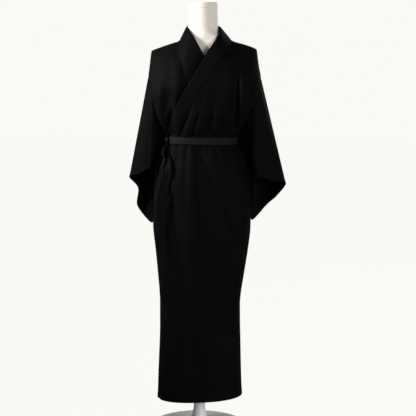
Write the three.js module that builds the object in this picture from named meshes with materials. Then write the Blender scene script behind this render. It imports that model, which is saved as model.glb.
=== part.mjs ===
// Black wrapped kimono with a narrow belt, worn by a limbless dress form on a round stand.
// Millimetres, +Z up, the front faces -Y and +X is the wearer's left. The origin is under the middle of the base.
import * as THREE from 'three';

// Driving sizes of the cloth
const CLOTH = 2;            // thickness of every wall of cloth
const SEAM_GAP = 0.3;       // distance between two pieces at a seam
const LAYER_SINK = 7;       // how far the covered layer lies below the layer on top
const UNDERARM = 1130;      // height of the lowest point of the armholes
const ROUND = 2.3;          // exponent of the body's sections: 2 is an ellipse, more is squarer
const SHOULDER_ROLL = 115;  // height over which the cloth rounds forward from the shoulder line
const BELT_HEIGHT = 1086;   // middle of the belt
const BELT_WIDTH = 24.5;
const BELT_CLOTH = 1.4;     // thickness of the loop and tails
const BAND_END = 1025;      // height where the collar band ends on each front edge
const BAND_TURN = 18;       // degrees round the body that the band's width takes below the chest

// Driving sizes of the dress form and its stand
const NECK_TOP = 1551.7;
const CAP_BOTTOM = 1552;
const CAP_TOP = 1572;
const CAP_RADIUS = 50.5;
const FORM_BOTTOM = 845;
const POLE_RADIUS = 20.5;
const POLE_BOTTOM = 96.3;
const BASE_RADIUS = 185;
const BASE_THICKNESS = 12;

// Outside of the cloth at each height: half widths to the viewer's left and right, and depths to front and back
const BODY = [
  { z: 120, left: 156, right: 159, front: 108, back: 112 },
  { z: 220, left: 153.5, right: 154, front: 107, back: 112 },
  { z: 352, left: 149.4, right: 149.3, front: 107, back: 112 },
  { z: 443, left: 148.7, right: 146.5, front: 108, back: 114 },
  { z: 508, left: 149.3, right: 147, front: 110, back: 117 },
  { z: 610, left: 158, right: 161, front: 115, back: 122 },
  { z: 688, left: 166, right: 172, front: 120, back: 127 },
  { z: 770, left: 175, right: 180, front: 125, back: 131 },
  { z: 880, left: 173, right: 176, front: 126, back: 130 },
  { z: 990, left: 158, right: 161, front: 118, back: 115 },
  { z: 1045, left: 138, right: 143, front: 106, back: 96 },
  { z: 1071, left: 124, right: 126, front: 99, back: 87 },
  { z: 1101, left: 124, right: 126, front: 99, back: 87 },
  { z: 1130, left: 150, right: 145, front: 110, back: 96 },
  { z: 1180, left: 180, right: 182, front: 120, back: 108 },
  { z: 1240, left: 199, right: 215, front: 124, back: 116 },
  { z: 1310, left: 194, right: 209, front: 120, back: 115 },
  { z: 1352, left: 189, right: 201, front: 109, back: 106 },
  { z: 1401, left: 184, right: 194, front: 92, back: 90 },
  { z: 1440, left: 182, right: 191, front: 77, back: 74 },
  { z: 1500, left: 182, right: 191, front: 62, back: 62 },
];

// Top line of the cloth from the neck to the shoulder tip, by distance from the middle
const SHOULDER = [
  { z: 0, left: 1532, right: 1532 },
  { z: 40, left: 1513, right: 1515 },
  { z: 58, left: 1489, right: 1496 },
  { z: 72, left: 1460, right: 1474 },
  { z: 84, left: 1438, right: 1456 },
  { z: 104, left: 1430, right: 1439 },
  { z: 145, left: 1415.5, right: 1427 },
  { z: 181, left: 1401.5, right: 1415 },
  { z: 192, left: 1392, right: 1409 },
];

// Each side of the body: where the neck seam, shoulder tip and armhole lie, as distances from the middle
const SIDES = {
  left: { sign: -1, neck: 84, neckZ: 1438, tip: 181, tipZ: 1401.5, armTopZ: 1310 },
  right: { sign: 1, neck: 104, neckZ: 1439, tip: 189, tipZ: 1411, armTopZ: 1308 },
};
const ARMHOLE_INSET = 0.1;  // how far the armhole's edge is drawn in at its middle, as a share of the half width

// Layer on top (wearer's left): angles round the body, 0 in front and 90 at the viewer's right side.
// edge is the collar seam and below it the free edge, strip is the seam of the overlap panel, side is the side seam.
const OVER_LOW = [
  { z: 120, edge: -66, strip: 2, side: 34 },
  { z: 231, edge: -72, strip: -1.5, side: 40 },
  { z: 303, edge: -76, strip: -6, side: 52 },
  { z: 400, edge: -82, strip: -11, side: 76 },
  { z: 520, edge: -89, strip: -17.5, side: 90 },
  { z: 719, edge: -97, strip: -26.5, side: 90 },
  { z: 865, edge: -97, strip: -35, side: 90 },
  { z: 1000, edge: -80, strip: -41, side: 90 },
  { z: 1086, edge: -54, strip: -38, side: 90 },
  { z: 1130, edge: -31, strip: -24, side: 90 },
];

// Layer below (wearer's right), the same columns with the angles of the other side
const UNDER_LOW = [
  { z: 120, edge: 22, strip: -34, side: -90 },
  { z: 303, edge: 36, strip: -20, side: -90 },
  { z: 520, edge: 62, strip: 2, side: -90 },
  { z: 865, edge: 64, strip: 12, side: -90 },
  { z: 1000, edge: 58, strip: 28, side: -90 },
  { z: 1086, edge: 54, strip: 38, side: -90 },
  { z: 1130, edge: 33, strip: 25, side: -90 },
];

// Collar seam on the chest, and the band's free edge, as X at each height
const OVER_HIGH = [
  { z: 1130, seam: -84, free: -117.5 },
  { z: 1169, seam: -60, free: -106 },
  { z: 1249, seam: -12, free: -72 },
  { z: 1277, seam: 5, free: -57 },
  { z: 1328, seam: 37, free: -27 },
  { z: 1384, seam: 76, free: 6 },
  { z: 1412, seam: 92, free: 24 },
  { z: 1439, seam: 104, free: 42 },
  { z: 1468, seam: 104, free: 60 },
  { z: 1488, seam: 104, free: 62 },
];
const UNDER_HIGH = [
  { z: 1130, seam: 84, free: 116.5 },
  { z: 1200, seam: 44, free: 98 },
  { z: 1262, seam: 9, free: 72 },
  { z: 1312, seam: -20, free: 44 },
  { z: 1358, seam: -47, free: 18 },
  { z: 1384, seam: -62, free: 6 },
  { z: 1412, seam: -74, free: -9 },
  { z: 1438, seam: -84, free: -24 },
  { z: 1450, seam: -84, free: -30 },
  { z: 1470, seam: -84, free: -46 },
  { z: 1488, seam: -84, free: -59 },
];
const STRIP_TIP_ROW = 2;    // row of the yoke where the overlap panels end in a point

// Heights of the rows of all body panels below the underarm; the first one is the hem
const ROWS = [0, 195, 265, 345, 430, 520, 600, 680, 750, 820, 880, 935, 985, 1025, 1052, 1071, 1086, 1101, 1130];
const YOKE_ROWS = 12;
const HEM = { middle: 136, slope: 0.05 };

// Large folds, each along a line from its start to its end, with its width and its rise (below zero is a trough)
const FRONT_FOLDS = [
  { x0: -34, z0: 1062, x1: -30, z1: 660, width: 16, rise: 3.5 },
  { x0: -14, z0: 1050, x1: 105, z1: 700, width: 16, rise: -5 },
  { x0: 22, z0: 1040, x1: 128, z1: 760, width: 20, rise: 4 },
  { x0: -112, z0: 905, x1: -8, z1: 215, width: 20, rise: -7 },
  { x0: -82, z0: 930, x1: 16, z1: 215, width: 26, rise: 5 },
  { x0: -62, z0: 1106, x1: -22, z1: 1215, width: 9, rise: 5 },
  { x0: -26, z0: 1106, x1: 14, z1: 1235, width: 9, rise: 5 },
  { x0: 44, z0: 1106, x1: 58, z1: 1220, width: 9, rise: 4 },
  { x0: 12, z0: 1106, x1: 32, z1: 1190, width: 8, rise: -4 },
  { x0: -80, z0: 1106, x1: -46, z1: 1195, width: 8, rise: -4 },
  { x0: 106, z0: 1140, x1: 112, z1: 1290, width: 13, rise: -7 },
  { x0: -134, z0: 1175, x1: -122, z1: 1280, width: 13, rise: -7 },
];
const BACK_FOLDS = [
  { x0: -70, z0: 1104, x1: -54, z1: 1240, width: 12, rise: 5 },
  { x0: -28, z0: 1104, x1: -20, z1: 1215, width: 11, rise: 4 },
  { x0: 24, z0: 1104, x1: 34, z1: 1250, width: 12, rise: 5 },
  { x0: 72, z0: 1104, x1: 78, z1: 1210, width: 11, rise: 4 },
  { x0: -60, z0: 1060, x1: -88, z1: 620, width: 20, rise: 5 },
  { x0: 10, z0: 1060, x1: 22, z1: 560, width: 22, rise: 5 },
  { x0: 66, z0: 1060, x1: 104, z1: 700, width: 20, rise: 4 },
  { x0: -36, z0: 900, x1: -52, z1: 210, width: 26, rise: -5 },
  { x0: 78, z0: 760, x1: 70, z1: 200, width: 28, rise: -5 },
];

// Free end of each sleeve, eight points round the mouth from the outer tip over the front to the back
const MOUTH_LEFT = [
  { x: -261.5, y: -2, z: 949 },
  { x: -224, y: -42, z: 965 },
  { x: -186, y: -56, z: 985 },
  { x: -186, y: -8, z: 905 },
  { x: -182, y: 82, z: 768 },
  { x: -214, y: 100, z: 793 },
  { x: -238, y: 84, z: 833 },
  { x: -232, y: 42, z: 902 },
];
const MOUTH_RIGHT = [
  { x: 305.5, y: -2, z: 930 },
  { x: 264, y: -40, z: 940 },
  { x: 196, y: -58, z: 958 },
  { x: 186, y: -6, z: 900 },
  { x: 188, y: 80, z: 782 },
  { x: 212, y: 98, z: 800 },
  { x: 246, y: 84, z: 842 },
  { x: 275, y: 44, z: 876 },
];

// Shares of the sleeve's length at which its rows lie, closest together beside the body
const SLEEVE_SHARES = [0, 0.03, 0.08, 0.15, 0.24, 0.34, 0.45, 0.56, 0.68, 0.79, 0.9, 1];

// Dress form under the cloth: half width and depths at each height, clear of the cloth all round
const FORM = [
  { z: 845, side: 138, front: 92, back: 98 },
  { z: 858, side: 150, front: 102, back: 108 },
  { z: 900, side: 155, front: 108, back: 112 },
  { z: 960, side: 148, front: 102, back: 104 },
  { z: 1020, side: 128, front: 89, back: 86 },
  { z: 1086, side: 110, front: 80, back: 72 },
  { z: 1130, side: 114, front: 86, back: 76 },
  { z: 1180, side: 126, front: 96, back: 84 },
  { z: 1240, side: 142, front: 106, back: 92 },
  { z: 1300, side: 154, front: 101, back: 95 },
  { z: 1350, side: 164, front: 88, back: 88 },
  { z: 1395, side: 171, front: 74, back: 74 },
  { z: 1440, side: 172, front: 61, back: 60 },
  { z: 1490, side: 172, front: 53.6, back: 53.6 },
  { z: 1552, side: 172, front: 50.5, back: 50.5 },
];
const FORM_TOP_LINE = [
  { z: 50.5, left: 1552, right: 1552 },
  { z: 53.6, left: 1490, right: 1490 },
  { z: 58, left: 1466, right: 1470 },
  { z: 66, left: 1449, right: 1457 },
  { z: 80, left: 1436, right: 1444 },
  { z: 104, left: 1427.2, right: 1435.2 },
  { z: 145, left: 1412.7, right: 1423.2 },
  { z: 171, left: 1400, right: 1410 },
];

const radians = THREE.MathUtils.degToRad;
const clamp = THREE.MathUtils.clamp;
const lerp = THREE.MathUtils.lerp;
const vec = (x, y, z) => new THREE.Vector3(x, y, z);

function smooth(value) {
  const t = clamp(value, 0, 1);
  return t * t * (3 - 2 * t);
}

// Value of one column at a height, on a smooth curve through the table's rows
function read(table, column, height) {
  const last = table.length - 1;
  const h = clamp(height, table[0].z, table[last].z);
  let i = 0;
  while (i < last - 1 && h > table[i + 1].z) i += 1;
  const slope = (k) => {
    const before = table[Math.max(k - 1, 0)];
    const after = table[Math.min(k + 1, last)];
    return (after[column] - before[column]) / (after.z - before.z);
  };
  const span = table[i + 1].z - table[i].z;
  const t = (h - table[i].z) / span;
  const [start, end] = [table[i][column], table[i + 1][column]];
  const curve = (1 - t) * slope(i) * span - t * slope(i + 1) * span;
  const rise = end - start;
  return lerp(start, end, t) + t * (1 - t) * (curve + (2 * t - 1) * rise);
}

const sideName = (x) => (x < 0 ? 'left' : 'right');
const halfWidth = (x, z) => read(BODY, sideName(x), z);

// Where folds fade: toward the sides as shares of the half width, over the belt and at their own ends in millimetres
const FADE = { sideStart: 0.8, sideSpan: 0.18, belt: 30, early: 30, start: 60, late: 40, end: 120, edge: 1.5 };

// Lift of the cloth by the folds of one face at a place
function foldLift(face, x, z) {
  const nearSide = 1 - smooth((Math.abs(x) / halfWidth(x, z) - FADE.sideStart) / FADE.sideSpan);
  const clearOfBelt = smooth((Math.abs(z - BELT_HEIGHT) - BELT_WIDTH / 2 - 1) / FADE.belt);
  let lift = 0;
  for (const fold of face < 0 ? FRONT_FOLDS : BACK_FOLDS) {
    const [dx, dz] = [fold.x1 - fold.x0, fold.z1 - fold.z0];
    const length = Math.hypot(dx, dz);
    const along = ((x - fold.x0) * dx + (z - fold.z0) * dz) / length;
    const across = ((x - fold.x0) * dz - (z - fold.z0) * dx) / length;
    const ends = smooth((along + FADE.early) / FADE.start) * smooth((length + FADE.late - along) / FADE.end);
    lift += fold.rise * ends * Math.exp(-((across / fold.width) ** 2));
  }
  return lift * nearSide * clearOfBelt;
}

// A covered layer follows the troughs of the layer on top, and stays out of its ridges
const coveredLift = (lift, sink) => (lift > 0 ? lift * (1 - sink / LAYER_SINK) : lift);

// Angle of the free edge of the layer on top, the band included, and how deep the covered layer lies there
const BAND_START = { below: 55, span: 40 };
function freeAngle(z) {
  const band = smooth((z - BAND_END + BAND_START.below) / BAND_START.span);
  return read(OVER_LOW, 'edge', z) - BAND_TURN * band;
}
const SINK_BY_ANGLE = { ahead: 12, span: 10 };
const SINK_BY_X = { ahead: 22, span: 16 };
function sinkAtAngle(angle, z) {
  return LAYER_SINK * smooth((angle - freeAngle(z) + SINK_BY_ANGLE.ahead) / SINK_BY_ANGLE.span);
}
function sinkOnChest(x, z) {
  return LAYER_SINK * smooth((x - read(OVER_HIGH, 'free', z) + SINK_BY_X.ahead) / SINK_BY_X.span);
}

// Distance from the middle plane to the cloth at a place of the front or back
function depthAt(face, x, z, sink) {
  const width = halfWidth(x, z) - sink;
  const reach = Math.max(0, 1 - (Math.abs(x) / width) ** ROUND) ** (1 / ROUND);
  const below = read(SHOULDER, sideName(x), Math.abs(x)) - sink - z;
  const roll = Math.sqrt(1 - (1 - clamp(below / SHOULDER_ROLL, 0, 1)) ** 2);
  const depth = read(BODY, face < 0 ? 'front' : 'back', z) - sink;
  const lift = coveredLift(foldLift(face, x, z), sink);
  return depth * reach * roll + lift * Math.min(1, reach * roll * FADE.edge);
}

// Point and outward normal at an angle round the body below the underarm
function pointAtAngle(angle, z, layer) {
  const sink = layer === 'over' ? 0 : sinkAtAngle(angle, z);
  const turn = radians(angle);
  const x = Math.sign(Math.sin(turn)) * Math.abs(Math.sin(turn)) ** (2 / ROUND);
  const y = -Math.sign(Math.cos(turn)) * Math.abs(Math.cos(turn)) ** (2 / ROUND);
  const width = halfWidth(x, z) - sink;
  const depth = read(BODY, y < 0 ? 'front' : 'back', z) - sink;
  const nearSide = Math.min(1, Math.abs(y) * FADE.edge);
  const lift = coveredLift(foldLift(y < 0 ? -1 : 1, x * width, z), sink) * nearSide;
  return vec(x * width, y * depth + Math.sign(y) * lift, z);
}
const PROBE = { angle: 1, height: 3, chest: 1.5 };  // steps to each side from which normals are taken
function spotAtAngle(angle, z, layer) {
  const at = (turn, height) => pointAtAngle(angle + turn, z + height, layer);
  const around = at(PROBE.angle, 0).sub(at(-PROBE.angle, 0));
  const up = at(0, PROBE.height).sub(at(0, -PROBE.height));
  return { point: pointAtAngle(angle, z, layer), normal: around.cross(up).normalize() };
}

// The same on the chest and the upper back, by X and height
function spotOnChest(face, x, z, layer) {
  const sink = (px, pz) => (layer === 'over' || face > 0 ? 0 : sinkOnChest(px, pz));
  const depth = (px, pz) => depthAt(face, px, pz, sink(px, pz));
  const step = PROBE.chest;
  const across = (depth(x + step, z) - depth(x - step, z)) / (2 * step);
  const up = (depth(x, z + step) - depth(x, z - step)) / (2 * step);
  return { point: vec(x, face * depth(x, z), z), normal: vec(-across, face, -up).normalize() };
}

// Closed wall of cloth from a grid of spots on its outside; a ring joins its last column to its first
function wall(grid, thickness = CLOTH, ring = false) {
  const rows = grid.length;
  const columns = grid[0].length;
  const positions = [];
  for (const depth of [0, thickness]) {
    for (const row of grid) {
      for (const spot of row) {
        positions.push(...spot.point.clone().addScaledVector(spot.normal, -depth).toArray());
      }
    }
  }
  const index = [];
  const outer = (r, c) => r * columns + (c % columns);
  const inner = (r, c) => rows * columns + outer(r, c);
  const quad = (a, b, c, d) => index.push(a, b, c, a, c, d);
  const cells = ring ? columns : columns - 1;
  for (let r = 0; r < rows - 1; r += 1) {
    for (let c = 0; c < cells; c += 1) {
      quad(outer(r, c), outer(r, c + 1), outer(r + 1, c + 1), outer(r + 1, c));
      quad(inner(r, c), inner(r + 1, c), inner(r + 1, c + 1), inner(r, c + 1));
    }
  }
  for (let c = 0; c < cells; c += 1) {
    quad(outer(0, c), inner(0, c), inner(0, c + 1), outer(0, c + 1));
    quad(outer(rows - 1, c), outer(rows - 1, c + 1), inner(rows - 1, c + 1), inner(rows - 1, c));
  }
  if (!ring) {
    const last = columns - 1;
    for (let r = 0; r < rows - 1; r += 1) {
      const start = [outer(r, 0), outer(r + 1, 0), inner(r + 1, 0), inner(r, 0)];
      const end = [outer(r, last), inner(r, last), inner(r + 1, last), outer(r + 1, last)];
      // Both sides of a seam are split the same way: from the lower outer corner to the upper inner one
      if (grid[r][0].point.z > grid[r + 1][0].point.z) start.push(start.shift());
      if (grid[r][last].point.z > grid[r + 1][last].point.z) end.unshift(end.pop());
      quad(...start);
      quad(...end);
    }
  }
  return closedGeometry(positions, index);
}

// Geometry from points and triangles, turned inside out where its volume comes out below zero
function closedGeometry(positions, index) {
  const corner = (k) => vec(...positions.slice(3 * index[k], 3 * index[k] + 3));
  let volume = 0;
  for (let k = 0; k < index.length; k += 3) {
    volume += corner(k).dot(corner(k + 1).cross(corner(k + 2)));
  }
  if (volume < 0) index.reverse();
  const geometry = new THREE.BufferGeometry();
  geometry.setAttribute('position', new THREE.Float32BufferAttribute(positions, 3));
  geometry.setIndex(index);
  geometry.computeVertexNormals();
  return geometry;
}

// Moves the first and last columns and the top row named in edges into the panel by half a seam gap
const STEEPEST = 0.3;
function trim(grid, edges) {
  const shift = (spot, toward, along) => {
    const step = toward.point.clone().sub(spot.point);
    step.addScaledVector(spot.normal, -step.dot(spot.normal)).normalize();
    const slant = step.dot(along.normalize());
    step.multiplyScalar(SEAM_GAP / 2 / Math.sqrt(Math.max(STEEPEST, 1 - slant ** 2)));
    return { point: spot.point.clone().add(step), normal: spot.normal };
  };
  const [top, last] = [grid.length - 1, grid[0].length - 1];
  const upEdge = (r, c) => {
    const below = grid[Math.max(r - 1, 0)][c].point;
    return grid[Math.min(r + 1, top)][c].point.clone().sub(below);
  };
  const out = grid.map((row) => row.slice());
  grid.forEach((row, r) => {
    if (edges.first) out[r][0] = shift(row[0], row[1], upEdge(r, 0));
    if (edges.last) out[r][last] = shift(row[last], row[last - 1], upEdge(r, last));
  });
  if (edges.top) {
    const line = out[top];
    const alongTop = (c) => {
      const before = line[Math.max(c - 1, 0)].point;
      return line[Math.min(c + 1, last)].point.clone().sub(before);
    };
    out[top] = line.map((spot, c) => shift(spot, out[top - 1][c], alongTop(c)));
  }
  return out;
}

// Row of spots between two angles; the lowest row follows the hem
function lowRow(level, from, to, columns, layer) {
  const row = [];
  for (let c = 0; c <= columns; c += 1) {
    const angle = lerp(from, to, c / columns);
    const x = pointAtAngle(angle, Math.max(level, HEM.middle), layer).x;
    const z = level === 0 ? HEM.middle + HEM.slope * x : level;
    row.push(spotAtAngle(angle, z, layer));
  }
  return row;
}

// Point of the armhole's edge, step 0 at the underarm and YOKE_ROWS at its top
function armhole(side, step) {
  const { sign, armTopZ } = SIDES[side];
  const turn = (Math.PI * step) / YOKE_ROWS;
  const z = lerp(UNDERARM, armTopZ, (1 - Math.cos(turn)) / 2);
  return { x: sign * read(BODY, side, z) * (1 - ARMHOLE_INSET * Math.sin(turn) ** 2), z };
}

// Share of the way up the yoke of each row: the rows draw together where the cloth rolls over the shoulder
const climbShare = (row) => Math.sin((Math.PI / 2) * (row / YOKE_ROWS));

// Top line of a panel, column by column: round the nape for a back panel, then over the shoulder to the armhole
const NAPE_COLUMNS = 3;
const SHOULDER_CORNER = 0.55;  // how fast the top line turns down at the shoulder tip
function topLine(side, column, last, face) {
  const { sign, neck, neckZ, tip, tipZ, armTopZ } = SIDES[side];
  const first = face > 0 ? NAPE_COLUMNS : 0;
  if (column < first) {
    const turn = radians((90 * column) / NAPE_COLUMNS);
    return { x: sign * neck * Math.sin(turn), z: neckZ };
  }
  const slope = tip - neck;
  const drop = tipZ - armTopZ;
  const way = ((column - first) / (last - first)) * (slope + drop);
  if (way <= slope) {
    const x = neck + way;
    return { x: sign * x, z: read(SHOULDER, side, x) };
  }
  const down = (way - slope) / drop;
  const z = lerp(tipZ, armTopZ, down);
  const armTop = read(BODY, side, armTopZ);
  const x = Math.min(read(BODY, side, z), lerp(tip, armTop, down ** SHOULDER_CORNER));
  return { x: sign * (down < 1 ? x : armTop), z };
}

// Rows of a panel above the underarm, from its lower row to the shoulder line
const NECK_SEAM_REACH = 3;
function yokeRows(side, face, layer, lower, innerEdge) {
  const last = lower.length - 1;
  const rows = [];
  for (let r = 1; r <= YOKE_ROWS; r += 1) {
    const v = climbShare(r);
    const inner = innerEdge(r);
    const outer = armhole(side, r);
    const row = [];
    for (let c = 0; c <= last; c += 1) {
      const u = c / last;
      const top = topLine(side, c, last, face);
      const corner = { in0: innerEdge(0), in1: innerEdge(YOKE_ROWS), out0: armhole(side, 0) };
      const end = topLine(side, last, last, face);
      const blend = (key, bottom) =>
        (1 - v) * bottom + v * top[key] + (1 - u) * inner[key] + u * outer[key]
        - ((1 - u) * (1 - v) * corner.in0[key] + u * (1 - v) * corner.out0[key]
          + (1 - u) * v * corner.in1[key] + u * v * end[key]);
      const x = blend('x', lower[c].point.x);
      const z = blend('z', UNDERARM);
      const spot = spotOnChest(face, x, z, layer);
      const onTopLine = r === YOKE_ROWS && (face < 0 || Math.abs(x) > SIDES[side].neck - NECK_SEAM_REACH);
      if (onTopLine) {
        spot.point.y = 0;
        spot.normal.setY(0).normalize();
      }
      row.push(spot);
    }
    rows.push(row);
  }
  return rows;
}

const chestHeight = (row, side) => lerp(UNDERARM, SIDES[side].neckZ, climbShare(row));

// Seam of the overlap panel on the chest: it runs into the collar seam at the panel's tip
const STRIP_TIP_WIDTH = 2;
function stripOnChest(layer, row, side) {
  const table = layer === 'over' ? OVER_HIGH : UNDER_HIGH;
  const low = layer === 'over' ? OVER_LOW : UNDER_LOW;
  const z = chestHeight(row, side);
  const seam = read(table, 'seam', z);
  const foot = pointAtAngle(read(low, 'strip', UNDERARM), UNDERARM, layer).x;
  const start = foot - read(table, 'seam', UNDERARM);
  const left = Math.max(0, 1 - row / STRIP_TIP_ROW);
  const tip = row <= STRIP_TIP_ROW ? (STRIP_TIP_WIDTH * row) / STRIP_TIP_ROW : 0;
  return { x: seam + start * left + (layer === 'over' ? tip : -tip), z };
}

// Rows of a panel below the underarm, between two columns of a table
function lowRows(table, from, to, columns, layer) {
  return ROWS.map((level) => lowRow(level, read(table, from, level), read(table, to, level), columns, layer));
}

const FRONT_COLUMNS = { over: 15, under: 13 };
function frontPanel(layer) {
  const side = layer === 'over' ? 'right' : 'left';
  const table = layer === 'over' ? OVER_LOW : UNDER_LOW;
  const low = lowRows(table, 'strip', 'side', FRONT_COLUMNS[layer], layer);
  const rows = yokeRows(side, -1, layer, low[low.length - 1], (r) => stripOnChest(layer, r, side));
  return trim([...low, ...rows], { first: true, last: true, top: true });
}

const OVERLAP_COLUMNS = { over: 8, under: 6 };
function overlapPanel(layer) {
  const side = layer === 'over' ? 'right' : 'left';
  const table = layer === 'over' ? OVER_LOW : UNDER_LOW;
  const high = layer === 'over' ? OVER_HIGH : UNDER_HIGH;
  const columns = OVERLAP_COLUMNS[layer];
  const low = lowRows(table, 'edge', 'strip', columns, layer);
  const rows = [];
  for (let r = 1; r <= STRIP_TIP_ROW; r += 1) {
    const end = stripOnChest(layer, r, side);
    const start = read(high, 'seam', end.z);
    const row = [];
    for (let c = 0; c <= columns; c += 1) {
      row.push(spotOnChest(-1, lerp(start, end.x, c / columns), end.z, layer));
    }
    rows.push(row);
  }
  return trim([...low, ...rows], { first: true, last: true });
}

const BACK_COLUMNS = 12;
const BACK_MIDDLE = 179.99;  // angle just short of half a turn
function backPanel(side) {
  const sign = SIDES[side].sign;
  const layer = side === 'left' ? 'under' : 'over';
  const sideAngle = (level) => (side === 'right' ? read(OVER_LOW, 'side', level) : -90);
  const low = ROWS.map((level) => lowRow(level, sign * BACK_MIDDLE, sideAngle(level), BACK_COLUMNS, layer));
  const middle = (r) => ({ x: 0, z: chestHeight(r, side) });
  const rows = yokeRows(side, 1, 'back', low[low.length - 1], middle);
  const grid = [...low, ...rows];
  for (const row of grid) {
    row[0].point.x = 0;
    row[0].normal.setX(0).normalize();
  }
  return trim(grid, { first: true, last: true, top: true });
}

// Smooth closed curve through a short table of points, with a number of steps between two rows
function closedCurve(table, steps) {
  const curve = new THREE.CatmullRomCurve3(table.map((row) => vec(row.x, row.y, row.z)), true, 'centripetal');
  const count = table.length * steps;
  return Array.from({ length: count }, (_, k) => curve.getPoint(k / count));
}

// Part of each sleeve that hangs in behind the waist: its middle and reach round the ring of 24 steps, how far it comes
// in and back, and the shares of the sleeve's length where it is full, begins to fade and ends. This part keeps clear
// of the body by a margin, which ends within its own reach round the ring.
const SLEEVE_INNER = { middle: 13, reach: 2.6, inward: 38, back: 29, full: 0.07, fade: 0.28, end: 0.72 };
const SLEEVE_CLEAR = { margin: 9, reach: 6.5, span: 2 };
function innerPart(point, step, share, sign) {
  const { middle, reach, inward, back, full, fade, end } = SLEEVE_INNER;
  const along = smooth(share / full) * (1 - smooth((share - fade) / (end - fade)));
  const sag = along * Math.exp(-(((step - middle) / reach) ** 2));
  point.add(vec(-sign * inward * sag, back * sag, 0));
  const near = smooth((SLEEVE_CLEAR.reach - Math.abs(step - middle)) / SLEEVE_CLEAR.span);
  const margin = SLEEVE_CLEAR.margin * smooth(share / full) * near;
  const width = halfWidth(point.x, point.z) + margin;
  const depth = read(BODY, point.y < 0 ? 'front' : 'back', point.z) + margin;
  const level = (Math.abs(point.x) / width) ** ROUND + (Math.abs(point.y) / depth) ** ROUND;
  const push = share > 0 ? Math.max(1, level ** (-1 / ROUND)) : 1;
  return point.setX(point.x * push).setY(point.y * push);
}

// Sleeve: from the armhole's edge to the mouth, one closed ring of points for each row
const SLEEVE_GAP = { out: 0.36, up: 0.3 };  // how far its first ring lies beyond and above the armhole's edge
function sleeve(side, front, back, mouth) {
  const count = 2 * YOKE_ROWS;
  const ends = closedCurve(mouth, count / mouth.length);
  const first = ROWS.length - 1;
  const start = [];
  for (let k = 0; k < count; k += 1) {
    const step = k <= YOKE_ROWS ? YOKE_ROWS - k : k - YOKE_ROWS;
    const row = (k <= YOKE_ROWS ? front : back)[first + step];
    const [edge, before] = [row[row.length - 1], row[row.length - 2]];
    const out = edge.point.clone().sub(before.point).normalize();
    if (step === 0) out.set(0, 0, 1);
    if (step === YOKE_ROWS) out.set(0, 0, -1);
    const point = edge.point.clone().addScaledVector(out, SLEEVE_GAP.out);
    point.addScaledVector(edge.normal, SLEEVE_GAP.up);
    if (step === 0 || step === YOKE_ROWS) point.y = 0;
    start.push(point);
  }
  const grid = [];
  for (const share of SLEEVE_SHARES) {
    grid.push(start.map((point, k) => innerPart(point.clone().lerp(ends[k], share), k, share, SIDES[side].sign)));
  }
  return spotsFromPoints(grid, true);
}

// Spots from a grid of points: each normal comes from the neighbours, and points away from its row's middle,
// or from the upright axis where the grid is no ring
function spotsFromPoints(grid, ring) {
  const rows = grid.length;
  const columns = grid[0].length;
  const column = (c) => (ring ? (c + columns) % columns : clamp(c, 0, columns - 1));
  const pick = (r, c) => grid[clamp(r, 0, rows - 1)][column(c)];
  let away = 0;
  const spots = grid.map((row, r) => {
    const middle = row.reduce((sum, point) => sum.add(point), vec(0, 0, 0)).divideScalar(columns);
    return row.map((point, c) => {
      const along = pick(r, c + 1).clone().sub(pick(r, c - 1));
      const down = pick(r + 1, c).clone().sub(pick(r - 1, c));
      const normal = along.cross(down).normalize();
      away += normal.dot(point.clone().sub(ring ? middle : vec(0, 0, point.z)));
      return { point: point.clone(), normal };
    });
  });
  if (away < 0) spots.forEach((row) => row.forEach((spot) => spot.normal.negate()));
  return spots;
}

// Collar band: rows from the seam to the free edge, up one front, round the nape and down the other front
const BAND_STEPS = 4;
const BAND_RISE = 49;       // how far the free edge stands above the seam at the neck
const BAND_RISE_ROW = 5;    // row of the yoke above which it rises
const CHEST_TOP = 1400;     // height above which the band leaves the chest and stands round the neck
const BAND_NAPE = { side: 60, back: 63, z: 1491 };

function collarFront(layer) {
  const side = layer === 'over' ? 'right' : 'left';
  const [low, high] = layer === 'over' ? [OVER_LOW, OVER_HIGH] : [UNDER_LOW, UNDER_HIGH];
  const toward = layer === 'over' ? -1 : 1;
  const rows = ROWS.filter((level) => level >= BAND_END).map((level) => {
    const edge = read(low, 'edge', level);
    return lowRow(level, edge, edge + toward * BAND_TURN, BAND_STEPS, layer);
  });
  for (let r = 1; r <= YOKE_ROWS; r += 1) {
    const z = chestHeight(r, side);
    const freeZ = z + BAND_RISE * smooth((r - BAND_RISE_ROW) / (YOKE_ROWS - BAND_RISE_ROW));
    const [seam, free] = [read(high, 'seam', z), read(high, 'free', freeZ)];
    const row = [];
    for (let c = 0; c <= BAND_STEPS; c += 1) {
      const share = c / BAND_STEPS;
      row.push(spotOnChest(-1, lerp(seam, free, share), lerp(z, freeZ, share), layer));
    }
    rows.push(row);
  }
  const seam = rows[rows.length - 1][0];
  seam.point.y = 0;
  seam.normal.setY(0).normalize();
  return rows;
}

// Rows of the band round the nape, from the middle of the back toward one side
function collarNape(side) {
  const { sign, neck, neckZ } = SIDES[side];
  const rows = [];
  for (let k = 0; k < NAPE_COLUMNS; k += 1) {
    const turn = radians((90 * k) / NAPE_COLUMNS);
    const seam = spotOnChest(1, sign * neck * Math.sin(turn), neckZ, 'back');
    if (k === 0) seam.point.x = 0;
    const free = vec(sign * BAND_NAPE.side * Math.sin(turn), BAND_NAPE.back * Math.cos(turn), BAND_NAPE.z);
    const row = [seam];
    for (let c = 1; c <= BAND_STEPS; c += 1) {
      row.push({ point: seam.point.clone().lerp(free, c / BAND_STEPS) });
    }
    rows.push(row);
  }
  return rows;
}

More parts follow.
